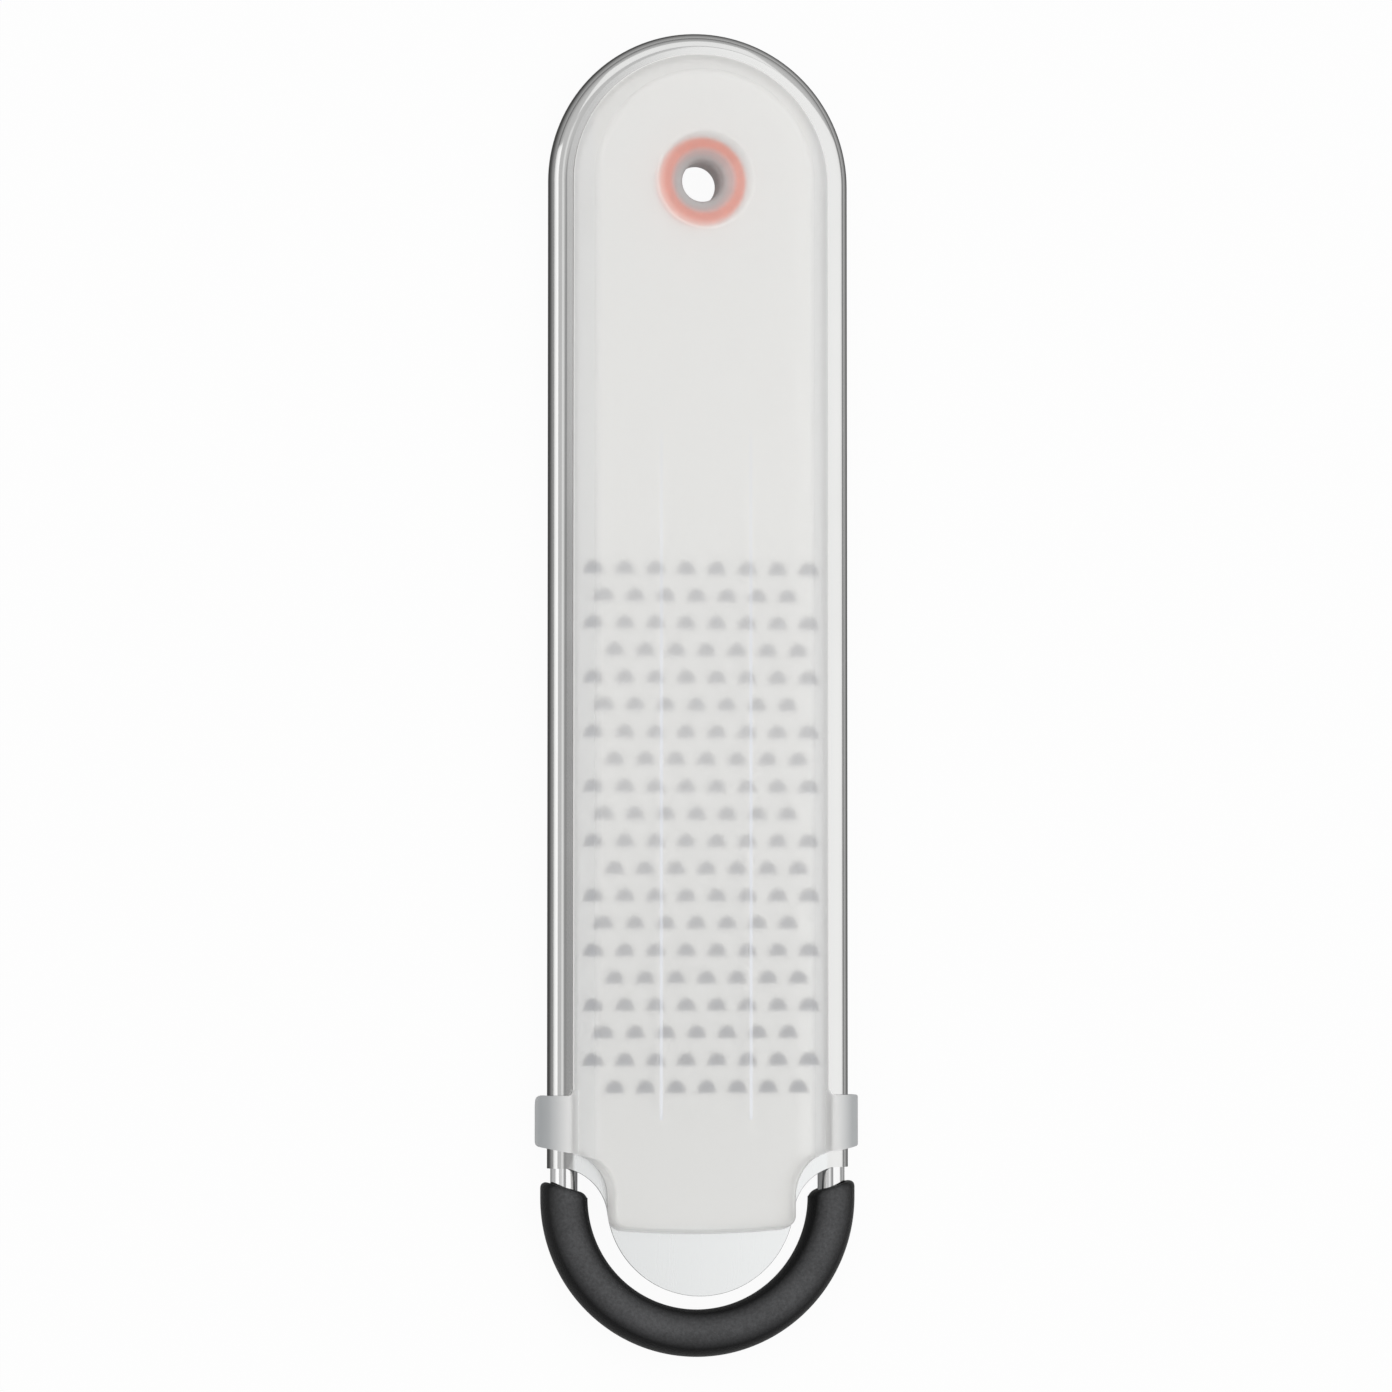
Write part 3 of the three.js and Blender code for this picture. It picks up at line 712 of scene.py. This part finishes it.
def make_clip(sign):
    """A hook over the rim: its section, cut to its outlines seen from above and from the side."""
    gap_radius = CURL_RADIUS + CLIP_GAP
    out_radius = gap_radius + CLIP_WALL
    gap, tip = LOOP_RADIUS + gap_radius, LOOP_RADIUS + out_radius
    root = COVER_HALF - COVER_WALL + CLIP_ROOT_OVERLAP
    low = COVER_SHOULDER_Y
    high = low + CLIP_WIDTH

    section = [(root, ROD_Z + out_radius), (root, ROD_Z + gap_radius)]
    section += arc(LOOP_RADIUS, ROD_Z, gap_radius, 90, 0, CLIP_INNER_STEPS)
    section += [
        (gap, CLIP_LEG_END + SNAP_BEAD_HEIGHT),
        (gap - SNAP_BEAD, CLIP_LEG_END + SNAP_BEAD_HEIGHT / 2),
        (gap, CLIP_LEG_END),
        (tip, CLIP_LEG_END),
    ]
    section += arc(LOOP_RADIUS, ROD_Z, out_radius, 0, 90, CLIP_OUTER_STEPS)
    length = CLIP_WIDTH + 2 * CLIP_SPARE
    hook = prism(section, length, lambda x, z, d: (sign * x, low - CLIP_SPARE + d, z))

    edge, fillet = CLIP_EDGE_RADIUS, CLIP_FILLET
    from_above = [(root - CUT_SPARE, low - CLIP_ROOT_OVERLAP), (LOOP_RADIUS, low)]
    from_above += arc(tip - edge, low + CLIP_SLANT + edge, edge, 270, 360, CLIP_EDGE_STEPS)
    from_above += arc(tip - edge, high - edge, edge, 0, 90, CLIP_EDGE_STEPS)
    from_above += arc(COVER_HALF + fillet, high + fillet, fillet, 270, 180, CLIP_EDGE_STEPS)
    from_above += [(root - CUT_SPARE, high + fillet)]
    bottom, top = CUT_Z
    combine(hook, prism(from_above, top - bottom, lambda x, y, d: (sign * x, y, bottom + d)), "INTERSECT")

    corner, past_fillet = CLIP_CORNER_RADIUS, high + 2 * fillet
    from_side = arc(low + corner, CLIP_LEG_END + corner, corner, 180, 270, CLIP_CORNER_STEPS)
    from_side += arc(high - corner, CLIP_LEG_END + corner, corner, 270, 360, CLIP_CORNER_STEPS)
    start, end = (ROD_Z + rise for rise in CLIP_FILLET_RISE)
    from_side += [(high, start), (past_fillet, end), (past_fillet, top)]
    from_side += [(low - CUT_SPARE, top), (low - CUT_SPARE, ROD_Z)]
    combine(hook, prism(from_side, CUT_X, lambda y, z, d: (sign * d, y, z)), "INTERSECT")

    mod = hook.modifiers.new("edges", "BEVEL")
    mod.width = CLIP_BEVEL * MM
    mod.segments = CLIP_BEVEL_STEPS
    mod.limit_method = "ANGLE"
    mod.angle_limit = math.radians(CLIP_BEVEL_FROM_DEG)
    apply_modifiers(hook)
    return hook


def make_cover():
    cover = make_cover_shell()
    for piece in (make_rib(RIB_SPACING / 2), make_rib(-RIB_SPACING / 2), make_clip(1), make_clip(-1)):
        combine(cover, piece, "UNION")
    smooth(cover.data, COVER_SHARP_DEG)
    weight_normals(cover)
    return cover


# Node trees

# How much of the white backdrop is seen in a mirror, and through the frosted cover
MIRRORED_SHARE = 0.25
FROSTED_SHARE = 0.15

# Places of A, B and the result among the Mix node's sockets
MIX_SOCKETS = {"FLOAT": (2, 3, 0), "RGBA": (6, 7, 2)}


class Nodes:
    """Short ways to add and link the nodes of a tree. A value is a number, a colour or another node's output."""

    def __init__(self, tree):
        self.tree = tree

    def put(self, socket, value):
        if isinstance(value, bpy.types.NodeSocket):
            self.tree.links.new(value, socket)
        else:
            socket.default_value = (*value, 1.0) if socket.type == "RGBA" else value

    def add(self, kind, **inputs):
        node = self.tree.nodes.new(kind)
        for name, value in inputs.items():
            self.put(node.inputs[name.replace("_", " ")], value)
        return node

    def math(self, operation, *values):
        """A calculation with one value or two, or one after another with more."""
        node = self.add("ShaderNodeMath")
        node.operation = operation
        for socket, value in zip(node.inputs, values[:2]):
            self.put(socket, value)
        if len(values) > 2:
            return self.math(operation, node.outputs[0], *values[2:])
        return node.outputs[0]

    def distance(self, a, b):
        """The length of the hypotenuse over two lengths."""
        squares = (self.math("MULTIPLY", value, value) for value in (a, b))
        return self.math("SQRT", self.math("ADD", *squares))

    def ranged(self, value, low, high, start=0.0, end=1.0):
        """Goes from low to high while a value goes from start to end."""
        node = self.add("ShaderNodeMapRange", Value=value, From_Min=start, From_Max=end, To_Min=low, To_Max=high)
        return node.outputs[0]

    def fade(self, length, low, high, origin, span):
        """Goes from low to high while a length goes through a span, in millimetres from an origin."""
        start, end = ((origin + edge) * MM for edge in span)
        return self.ranged(length, low, high, start, end)

    def mixed(self, factor, a, b, kind="FLOAT"):
        """A number between two."""
        node = self.add("ShaderNodeMix", Factor=factor)
        node.data_type = kind
        first, second, result = MIX_SOCKETS[kind]
        self.put(node.inputs[first], a)
        self.put(node.inputs[second], b)
        return node.outputs[result]

    def blend(self, factor, a, b):
        """A colour between two."""
        return self.mixed(factor, a, b, "RGBA")

    def ramp(self, value, stops):
        """A grey that follows stops of (place, level)."""
        node = self.add("ShaderNodeValToRGB", Fac=value)
        elements = node.color_ramp.elements
        elements[0].position, elements[-1].position = stops[0][0], stops[-1][0]
        for place, _ in stops[1:-1]:
            elements.new(place)
        for element, (_, level) in zip(elements, stops):
            element.color = (level, level, level, 1)
        return node.outputs[0]

    def backdrop_share(self):
        """How much of the white backdrop a ray sees: the camera all of it, mirrored and frosted light less."""
        ray = self.add("ShaderNodeLightPath").outputs
        mirror = self.math("MULTIPLY", ray["Is Glossy Ray"], MIRRORED_SHARE)
        frost = self.math("MULTIPLY", ray["Is Transmission Ray"], FROSTED_SHARE)
        return self.math("MAXIMUM", ray["Is Camera Ray"], mirror, frost)


class Surface(Nodes):
    """A material with a Principled shader and the object's coordinates."""

    def __init__(self, name):
        self.material = bpy.data.materials.new(name)
        self.material.use_nodes = True
        super().__init__(self.material.node_tree)
        self.shader = self.tree.nodes["Principled BSDF"]
        self.coords = self.add("ShaderNodeTexCoord").outputs["Object"]

    def axes(self):
        split = self.add("ShaderNodeSeparateXYZ", Vector=self.coords).outputs
        return split["X"], split["Y"], split["Z"]

    def noise(self, scale, detail=2.0, roughness=0.5, stretch=None):
        """Noise on the object, squeezed by three numbers if they are given."""
        vector = self.coords
        if stretch:
            vector = self.add("ShaderNodeMapping", Vector=vector, Scale=stretch).outputs[0]
        node = self.add("ShaderNodeTexNoise", Vector=vector, Scale=scale, Detail=detail, Roughness=roughness)
        return node.outputs["Fac"]

    def set(self, **values):
        for name, value in values.items():
            self.put(self.shader.inputs[name.replace("_", " ")], value)

    def bump(self, height, strength, distance):
        node = self.add("ShaderNodeBump", Height=height, Strength=strength, Distance=distance)
        self.set(Normal=node.outputs[0])

    def overlay(self, share, other):
        """Puts a share of another shader over the Principled one."""
        mix = self.add("ShaderNodeMixShader", Fac=share)
        self.put(mix.inputs[1], self.shader.outputs[0])
        self.put(mix.inputs[2], other.outputs[0])
        self.put(self.tree.nodes["Material Output"].inputs["Surface"], mix.outputs[0])

    def thin_wall(self, tint):
        """Scatters light once in a wall, where it comes in, and lets the lamps shine through with a tint."""
        lamp = self.add("ShaderNodeLightPath").outputs["Is Shadow Ray"]
        leaving = self.add("ShaderNodeNewGeometry").outputs["Backfacing"]
        clear = self.add("ShaderNodeBsdfTransparent", Color=tint)
        self.overlay(self.math("MAXIMUM", lamp, leaving), clear)


# Colours; a pair is blended by noise
FLAT_STEEL = ((0.648, 0.658, 0.658), (0.651, 0.661, 0.661))
CURL_STEEL = ((0.48, 0.48, 0.475), (0.52, 0.52, 0.515))
# Painted shade: dark steel round the rim's side, standing in for the dim surroundings the rim mirrors there
CURL_SIDE_SHADE = (0.125, 0.125, 0.123)
# Painted shade on the raised teeth, standing in for the shade in their openings and the dim light they mirror
TEETH_SHADE_STEEL = (0.086, 0.106, 0.148)
ROD_STEEL = ((0.55, 0.55, 0.55), (0.61, 0.61, 0.61))
RUBBER_SIDE = ((0.0020, 0.0021, 0.0023), (0.005, 0.0052, 0.0056))
# Painted highlight along the top of the sleeve
RUBBER_HIGHLIGHT = ((0.050, 0.0505, 0.052), (0.080, 0.081, 0.084))
ORANGE = ((0.80, 0.125, 0.030), (0.86, 0.155, 0.040))
COVER_TOP = ((0.914, 0.905, 0.886), (0.929, 0.92, 0.901))
# Painted light along the cover's edge at its foot
COVER_FRONT_LIGHT = (0.99, 0.99, 0.975)
# Painted shade on the cover's side slopes
COVER_SIDE_SHADE = (0.895, 0.891, 0.882)
COVER_RIB = (0.86, 0.875, 0.92)
# Painted grey on the clips, for the steel rim seen through them
COVER_CLIP_SHADE = (0.70, 0.70, 0.694)
# Painted shade, darker down the clips' outer legs
COVER_LEG_SHADE = (0.36, 0.374, 0.382)
COVER_DISH = (0.76, 0.755, 0.75)
# Painted shade of the deep bore round the boss
COVER_BOSS_SHADE = (0.55, 0.53, 0.525)
COVER_LIGHT = (0.95, 0.95, 0.95)
FLOOR_GREY = ((0.66, 0.66, 0.66), (0.68, 0.68, 0.68))

# Steel mirrors less where it is seen almost along its surface
STEEL_EDGE = (0.40, 0.40, 0.40)

# Where the looks change, as spans from a place of the part
CURL_SPAN = (-0.05, 0.15)
# Where the rim's polish and its darker steel colour begin; on the flat margin beside the rim that colour is painted
# shade
POLISH_AND_SHADE_SPAN = (-0.6, 0.0)
# Heights of the painted shade round the rim's side
CURL_SHADE_TOP = (0.40 * CURL_RADIUS, 0.75 * CURL_RADIUS)
CURL_SHADE_FOOT = (-0.60 * CURL_RADIUS, -0.05 * CURL_RADIUS)
# Height above the face where the teeth's painted shade begins
TEETH_SHADE_SPAN = (0.01, 0.12)
# Heights and lean of the sleeve's painted highlight
HIGHLIGHT_SPAN = (0.66 * GRIP_DIAMETER / 2, 1.02 * GRIP_DIAMETER / 2)
HIGHLIGHT_LEAN = 0.17
LOW_EDGE_SPAN = (0.25, 0.75)
LEG_TOP_SPAN = (-0.3, 0.0)
FOOT_WALL_SPAN = (3.0, 4.5)
SHOULDER_SPAN = (-2.0, 0.0)
# Where the painted light along the foot's edge fades
FRONT_LIGHT_SPAN = (0.6, 1.4)
# Where the painted shade on the side slopes begins
SIDE_SHADE_SPAN = (-COVER_EDGE_ROUND, 0.4)
CLIP_SPAN = (0.0, 0.8)
# Where the painted shade on the clips' legs begins, and how it eases with height
LEG_SPAN = (0.2, 3.6)
LEG_HEIGHT_SPAN = (-1.2, 2.2)
RIB_SPAN = (0.15 * RIB_WIDTH, 0.5 * RIB_WIDTH)
RIB_DEPTH_SPAN = (-60.0, 0.0)
RIB_TOP_SPAN = (-4.0, 0.0)
RIB_FOOT_SPAN = (-0.2, 0.0)
BOSS_SPAN = (5.9, 7.0)
DISH_SPAN = (8.0, 9.6)
DISH_LIP_SPAN = (0.05, 0.35)
CLEAR_SPAN = (0.0, 70.0)
HAZE_SPAN = (0.0, 60.0)

# How much of one effect goes into a mixture
BROAD_STREAKS = 0.3
SPECKLE = 0.5
PORES = 0.6
RIB_MILK = 0.75
DISH_TINT = 0.9


def sheet_steel():
    """Stainless sheet: brushed on the flat and given a polish at the rim, with painted shade round the rim's side,
    on the flat margin beside the rim and on the teeth.
    """
    n = Surface("stainless_sheet")
    x, y, z = n.axes()
    above = n.math("MAXIMUM", n.math("SUBTRACT", y, ARCH_Y * MM), 0.0)
    reach = n.distance(x, above)
    off_curl = n.fade(reach, 1.0, 0.0, LOOP_RADIUS, CURL_SPAN)
    # Lower roughness at the rim and margin, and the rim's darker steel colour, which on the flat margin is painted
    # shade
    polished_and_shaded = n.fade(reach, 0.0, 1.0, COVER_HALF, POLISH_AND_SHADE_SPAN)
    # Painted shade round the rim's side, between two heights about the rod
    below_top = n.fade(z, 1.0, 0.0, ROD_Z, CURL_SHADE_TOP)
    above_foot = n.fade(z, 0.0, 1.0, ROD_Z, CURL_SHADE_FOOT)
    side = n.math("MULTIPLY", below_top, above_foot)
    # Painted shade: everything raised above the face, the teeth, takes a dark bluish steel colour
    teeth_shade = n.fade(z, 0.0, 1.0, FACE_Z, TEETH_SHADE_SPAN)
    fine = n.noise(5200.0, detail=3.0, roughness=0.6, stretch=(1.0, 0.012, 1.0))
    broad = n.noise(700.0, stretch=(1.0, 0.02, 1.0))
    streak = n.mixed(BROAD_STREAKS, fine, broad)
    smudge = n.noise(55.0, detail=3.0, roughness=0.55)
    brushed_rough = n.ranged(streak, 0.271, 0.275, 0.25, 0.75)
    flat = n.blend(n.ranged(streak, 0.0, 1.0, 0.3, 0.7), *FLAT_STEEL)
    curl = n.blend(side, n.blend(smudge, *CURL_STEEL), CURL_SIDE_SHADE)
    n.set(
        Base_Color=n.blend(teeth_shade, n.blend(polished_and_shaded, flat, curl), TEETH_SHADE_STEEL),
        Metallic=1.0,
        Roughness=n.mixed(polished_and_shaded, brushed_rough, n.ranged(smudge, 0.07, 0.13)),
        Specular_Tint=STEEL_EDGE,
    )
    n.bump(n.math("MULTIPLY", streak, off_curl), strength=0.0012, distance=0.00004)
    return n.material


def rod_steel():
    """Bright drawn rod with very fine marks along it."""
    n = Surface("polished_steel")
    marks = n.noise(2600.0, detail=3.0, roughness=0.6, stretch=(1.0, 0.05, 1.0))
    n.set(
        Base_Color=n.blend(n.noise(90.0), *ROD_STEEL),
        Metallic=1.0,
        Roughness=n.ranged(marks, 0.06, 0.14),
        Specular_Tint=STEEL_EDGE,
    )
    n.bump(marks, strength=0.05, distance=0.00003)
    return n.material


def sleeve_rubber():
    """Matt black rubber with a fine moulded grain, near-black on its sides, with a painted highlight along the top
    of the tube that leans towards the arch side.
    """
    n = Surface("black_rubber")
    x, y, z = n.axes()
    below = n.math("MINIMUM", n.math("SUBTRACT", y, LOOP_Y * MM), 0.0)
    outwards = n.math("SUBTRACT", n.distance(x, below), LOOP_RADIUS * MM)
    lean = n.math("MULTIPLY", outwards, n.math("DIVIDE", below, LOOP_RADIUS * MM), HIGHLIGHT_LEAN)
    # Painted highlight: paler along the top of the tube, leaning towards the arch side
    painted_highlight = n.fade(n.math("ADD", z, lean), 0.0, 1.0, ROD_Z, HIGHLIGHT_SPAN)
    wear = n.noise(38.0, detail=4.0, roughness=0.6)
    speckle = n.noise(1500.0, roughness=0.6)
    worn = n.ranged(n.mixed(SPECKLE, wear, speckle), 0.0, 1.0, 0.38, 0.62)
    n.set(
        Base_Color=n.blend(painted_highlight, n.blend(worn, *RUBBER_SIDE), n.blend(worn, *RUBBER_HIGHLIGHT)),
        Roughness=n.ranged(wear, 0.44, 0.52),
        IOR=1.25,
    )
    grain = n.noise(2100.0, detail=3.0, roughness=0.65)
    pores = n.add("ShaderNodeTexVoronoi", Vector=n.coords, Scale=2600.0).outputs["Distance"]
    n.bump(n.math("ADD", grain, n.math("MULTIPLY", pores, PORES)), strength=0.45, distance=0.00016)
    return n.material


def eyelet_plastic():
    """Satin orange moulded plastic."""
    n = Surface("orange_plastic")
    grain = n.noise(4200.0)
    n.set(
        Base_Color=n.blend(n.noise(160.0, detail=3.0), *ORANGE),
        Roughness=n.ranged(grain, 0.36, 0.48),
    )
    n.bump(grain, strength=0.06, distance=0.00005)
    return n.material


def cover_plastic():
    """Frosted polypropylene: it blurs what lies under it, and is milkier at its edge, its ribs and its boss. Its
    colour holds painted light along the foot's edge, and painted shade on the side slopes, the clips and the boss.
    """
    n = Surface("frosted_plastic")
    x, y, z = n.axes()
    across = n.math("ABSOLUTE", x)
    cloud = n.noise(26.0, detail=3.0)
    flow = n.noise(120.0, stretch=(1.0, 0.2, 1.0))

    # The edge at the base, all round and higher up the foot and shoulders, and the clips
    low_edge = n.fade(z, 1.0, 0.0, COVER_BASE_Z, LOW_EDGE_SPAN)
    above_legs = n.fade(z, 0.0, 1.0, COVER_BASE_Z, LEG_TOP_SPAN)
    foot_wall = n.fade(z, 1.0, 0.0, COVER_BASE_Z, FOOT_WALL_SPAN)
    at_foot = n.fade(y, 1.0, 0.0, COVER_SHOULDER_Y, SHOULDER_SPAN)
    band = n.math("MAXIMUM", low_edge, n.math("MULTIPLY", foot_wall, at_foot))
    edge = n.math("MULTIPLY", band, above_legs)
    clip = n.fade(across, 0.0, 1.0, COVER_HALF, CLIP_SPAN)
    beyond = n.fade(across, 0.0, 1.0, LOOP_RADIUS, LEG_SPAN)
    # Painted shade: darker down the clips' outer legs, most at their lower ends
    leg_shade = n.math("MULTIPLY", beyond, n.fade(z, 1.0, 0.75, FACE_Z, LEG_HEIGHT_SPAN))
    solid = n.math("MAXIMUM", edge, clip)

    # The ribs, deeper towards the foot, the dish with its lip, and the boss
    off_rib = n.math("ABSOLUTE", n.math("SUBTRACT", across, RIB_SPACING / 2 * MM))
    on_rib = n.fade(off_rib, 1.0, 0.0, 0.0, RIB_SPAN)
    deep = n.fade(y, 1.0, 0.25, RIB_TOP_Y, RIB_DEPTH_SPAN)
    below_top = n.fade(y, 1.0, 0.0, RIB_TOP_Y, RIB_TOP_SPAN)
    above_foot = n.fade(y, 0.0, 1.0, RIB_FOOT_Y, RIB_FOOT_SPAN)
    rib = n.math("MULTIPLY", on_rib, deep, below_top, above_foot)
    radius = n.distance(x, n.math("SUBTRACT", y, ARCH_Y * MM))
    boss = n.fade(radius, 1.0, 0.0, 0.0, BOSS_SPAN)
    dish = n.fade(radius, 1.0, 0.0, 0.0, DISH_SPAN)
    off_lip = n.math("ABSOLUTE", n.math("SUBTRACT", radius, DISH_RADIUS * MM))
    lip = n.fade(off_lip, 0.5, 0.0, 0.0, DISH_LIP_SPAN)
    thick = n.math("MAXIMUM", n.math("MULTIPLY", rib, RIB_MILK), lip, boss)

    # Clearer towards the foot and in the dish, hazier towards the arch
    foot_clear = n.fade(y, 0.12, 0.0, RIB_FOOT_Y, CLEAR_SPAN)
    clear = n.mixed(dish, n.math("ADD", n.ranged(cloud, 0.49, 0.52), foot_clear), n.ranged(cloud, 0.66, 0.70))
    haze = n.fade(y, 0.06, 0.26, RIB_FOOT_Y, HAZE_SPAN)

    # Painted light: a whiter band along the foot's edge
    front_light = n.fade(y, 1.0, 0.0, COVER_FOOT_Y, FRONT_LIGHT_SPAN)
    # Painted shade on the side slopes
    side = n.fade(across, 0.0, 1.0, COVER_TOP_HALF, SIDE_SHADE_SPAN)
    colour = n.blend(front_light, n.blend(cloud, *COVER_TOP), COVER_FRONT_LIGHT)
    layers = (
        (side, COVER_SIDE_SHADE),
        (rib, COVER_RIB),
        # Painted grey for the steel seen through the clips, and painted shade down their legs
        (clip, COVER_CLIP_SHADE),
        (leg_shade, COVER_LEG_SHADE),
        (n.math("MULTIPLY", dish, DISH_TINT), COVER_DISH),
        # Painted shade of the deep bore round the boss
        (boss, COVER_BOSS_SHADE),
    )
    for share, tint in layers:
        colour = n.blend(share, colour, tint)
    n.set(
        Base_Color=colour,
        Roughness=n.math("ADD", n.ranged(flow, 0.56, 0.62), haze),
        Transmission_Weight=n.ranged(solid, n.ranged(thick, clear, 0.28), 0.10),
        IOR=1.15,
        Coat_Weight=0.8,
        Coat_Roughness=0.3,
    )
    n.bump(n.noise(3000.0, detail=3.0, roughness=0.6), strength=0.12, distance=0.00006)
    n.thin_wall(COVER_LIGHT)
    return n.material


settle(make_plate(), "grater", "grater_plate", sheet_steel())
settle(make_rod(), "grater", "loop_rod", rod_steel())
settle(make_grip(), "grater", "loop_grip", sleeve_rubber())
settle(make_eyelet(), "grater", "hanging_eyelet", eyelet_plastic())
settle(make_cover(), "cover", "blade_cover", cover_plastic())


# Floor, light and camera, with lengths in metres

FLOOR_HALF = 2.5
FLOOR_GLOW = 0.95

# Light from the sky by the sine of the height, and its share by the direction from foot to arch, 0 to 1
SKY = ((0.0, 0.10), (0.10, 0.16), (0.25, 0.60), (0.50, 0.92), (0.984, 0.96), (0.9885, 0.36), (1.0, 0.34))
FOOT_SIDE = ((0.05, 0.68), (0.20, 0.72), (0.42, 1.0))

# Name, place, aim, width, height and level, where 1 is white
LAMPS = (
    ("right wall", (0.975, 0.0, 1.106), (-0.04, 0.0, 0.0), 1.6, 1.91, 0.68),
    ("left box", (-1.35, 0.0, 0.47), (0.0, 0.0, 0.0), 1.4, 0.86, 0.95),
    ("left strip", (-0.56, 0.0, 1.39), (0.0, 0.0, 0.0), 1.4, 0.34, 0.35),
    ("arch box", (0.0, 1.15, 1.1), (0.0, 0.0, 0.0), 1.4, 0.9, 0.58),
)

CAMERA_AIM = (-0.0008, -0.0009, 0.007)
CAMERA_DISTANCE = 1.15
CAMERA_SIDE_DEG = 10.0
CAMERA_FOOT_DEG = 2.6
CAMERA_FRAME = 0.2833
SENSOR_MM = 36.0


def make_floor():
    """A pale floor that looks white to the camera and keeps the shadow."""
    build = Builder()
    half = FLOOR_HALF / MM
    build.faces.append(tuple(build.add([(-half, -half, 0), (half, -half, 0), (half, half, 0), (-half, half, 0)])))
    floor = build.object("floor")
    n = Surface("pale_floor")
    n.set(Base_Color=n.blend(n.noise(3.0), *FLOOR_GREY), Roughness=0.9, Specular_IOR_Level=0.1)
    white = n.add("ShaderNodeEmission", Strength=1.0)
    n.overlay(n.math("MULTIPLY", n.backdrop_share(), FLOOR_GLOW), white)
    floor.data.materials.append(n.material)


def make_world():
    """A plain sky, dark at the horizon and right overhead, and dimmer beyond the part's foot."""
    world = bpy.data.worlds.new("studio")
    bpy.context.scene.world = world
    world.use_nodes = True
    n = Nodes(world.node_tree)
    way = n.add("ShaderNodeTexCoord").outputs["Generated"]
    split = n.add("ShaderNodeSeparateXYZ", Vector=way).outputs
    arch_side = n.ranged(split["Y"], 0.0, 1.0, -1.0, 1.0)
    light = n.math("MULTIPLY", n.ramp(split["Z"], SKY), n.ramp(arch_side, FOOT_SIDE))
    backdrop = n.blend(n.backdrop_share(), light, (1.0, 1.0, 1.0))
    n.put(n.tree.nodes["Background"].inputs["Color"], backdrop)


def make_lamp(name, place, aim, width, height, level):
    """A soft lamp that shines evenly at a level."""
    light = bpy.data.lights.new(name, "AREA")
    light.shape = "RECTANGLE"
    light.size, light.size_y = width, height
    light.energy = math.pi * width * height * level
    obj = bpy.data.objects.new(name, light)
    obj.location = place
    obj.rotation_euler = (Vector(aim) - Vector(place)).to_track_quat("-Z", "Y").to_euler()
    obj.visible_camera = False
    bpy.context.scene.collection.objects.link(obj)


def make_camera():
    """Looks down at the part from a little to its left and towards its foot, with +Y up the picture."""
    side, foot = math.radians(CAMERA_SIDE_DEG), math.radians(CAMERA_FOOT_DEG)
    back = Vector((-math.sin(side), -math.sin(foot), math.cos(side))).normalized()
    right = Vector((0, 1, 0)).cross(back).normalized()
    up = back.cross(right)
    data = bpy.data.cameras.new("camera")
    data.sensor_width = SENSOR_MM
    data.lens = SENSOR_MM * CAMERA_DISTANCE / CAMERA_FRAME
    data.clip_start, data.clip_end = 0.01, 100.0
    camera = bpy.data.objects.new("camera", data)
    turn = Matrix((right, up, back)).transposed().to_4x4()
    camera.matrix_world = Matrix.Translation(Vector(CAMERA_AIM) + back * CAMERA_DISTANCE) @ turn
    bpy.context.scene.collection.objects.link(camera)
    bpy.context.scene.camera = camera


make_floor()
make_world()
for lamp in LAMPS:
    make_lamp(*lamp)
make_camera()
bpy.context.scene.view_settings.view_transform = "Standard"
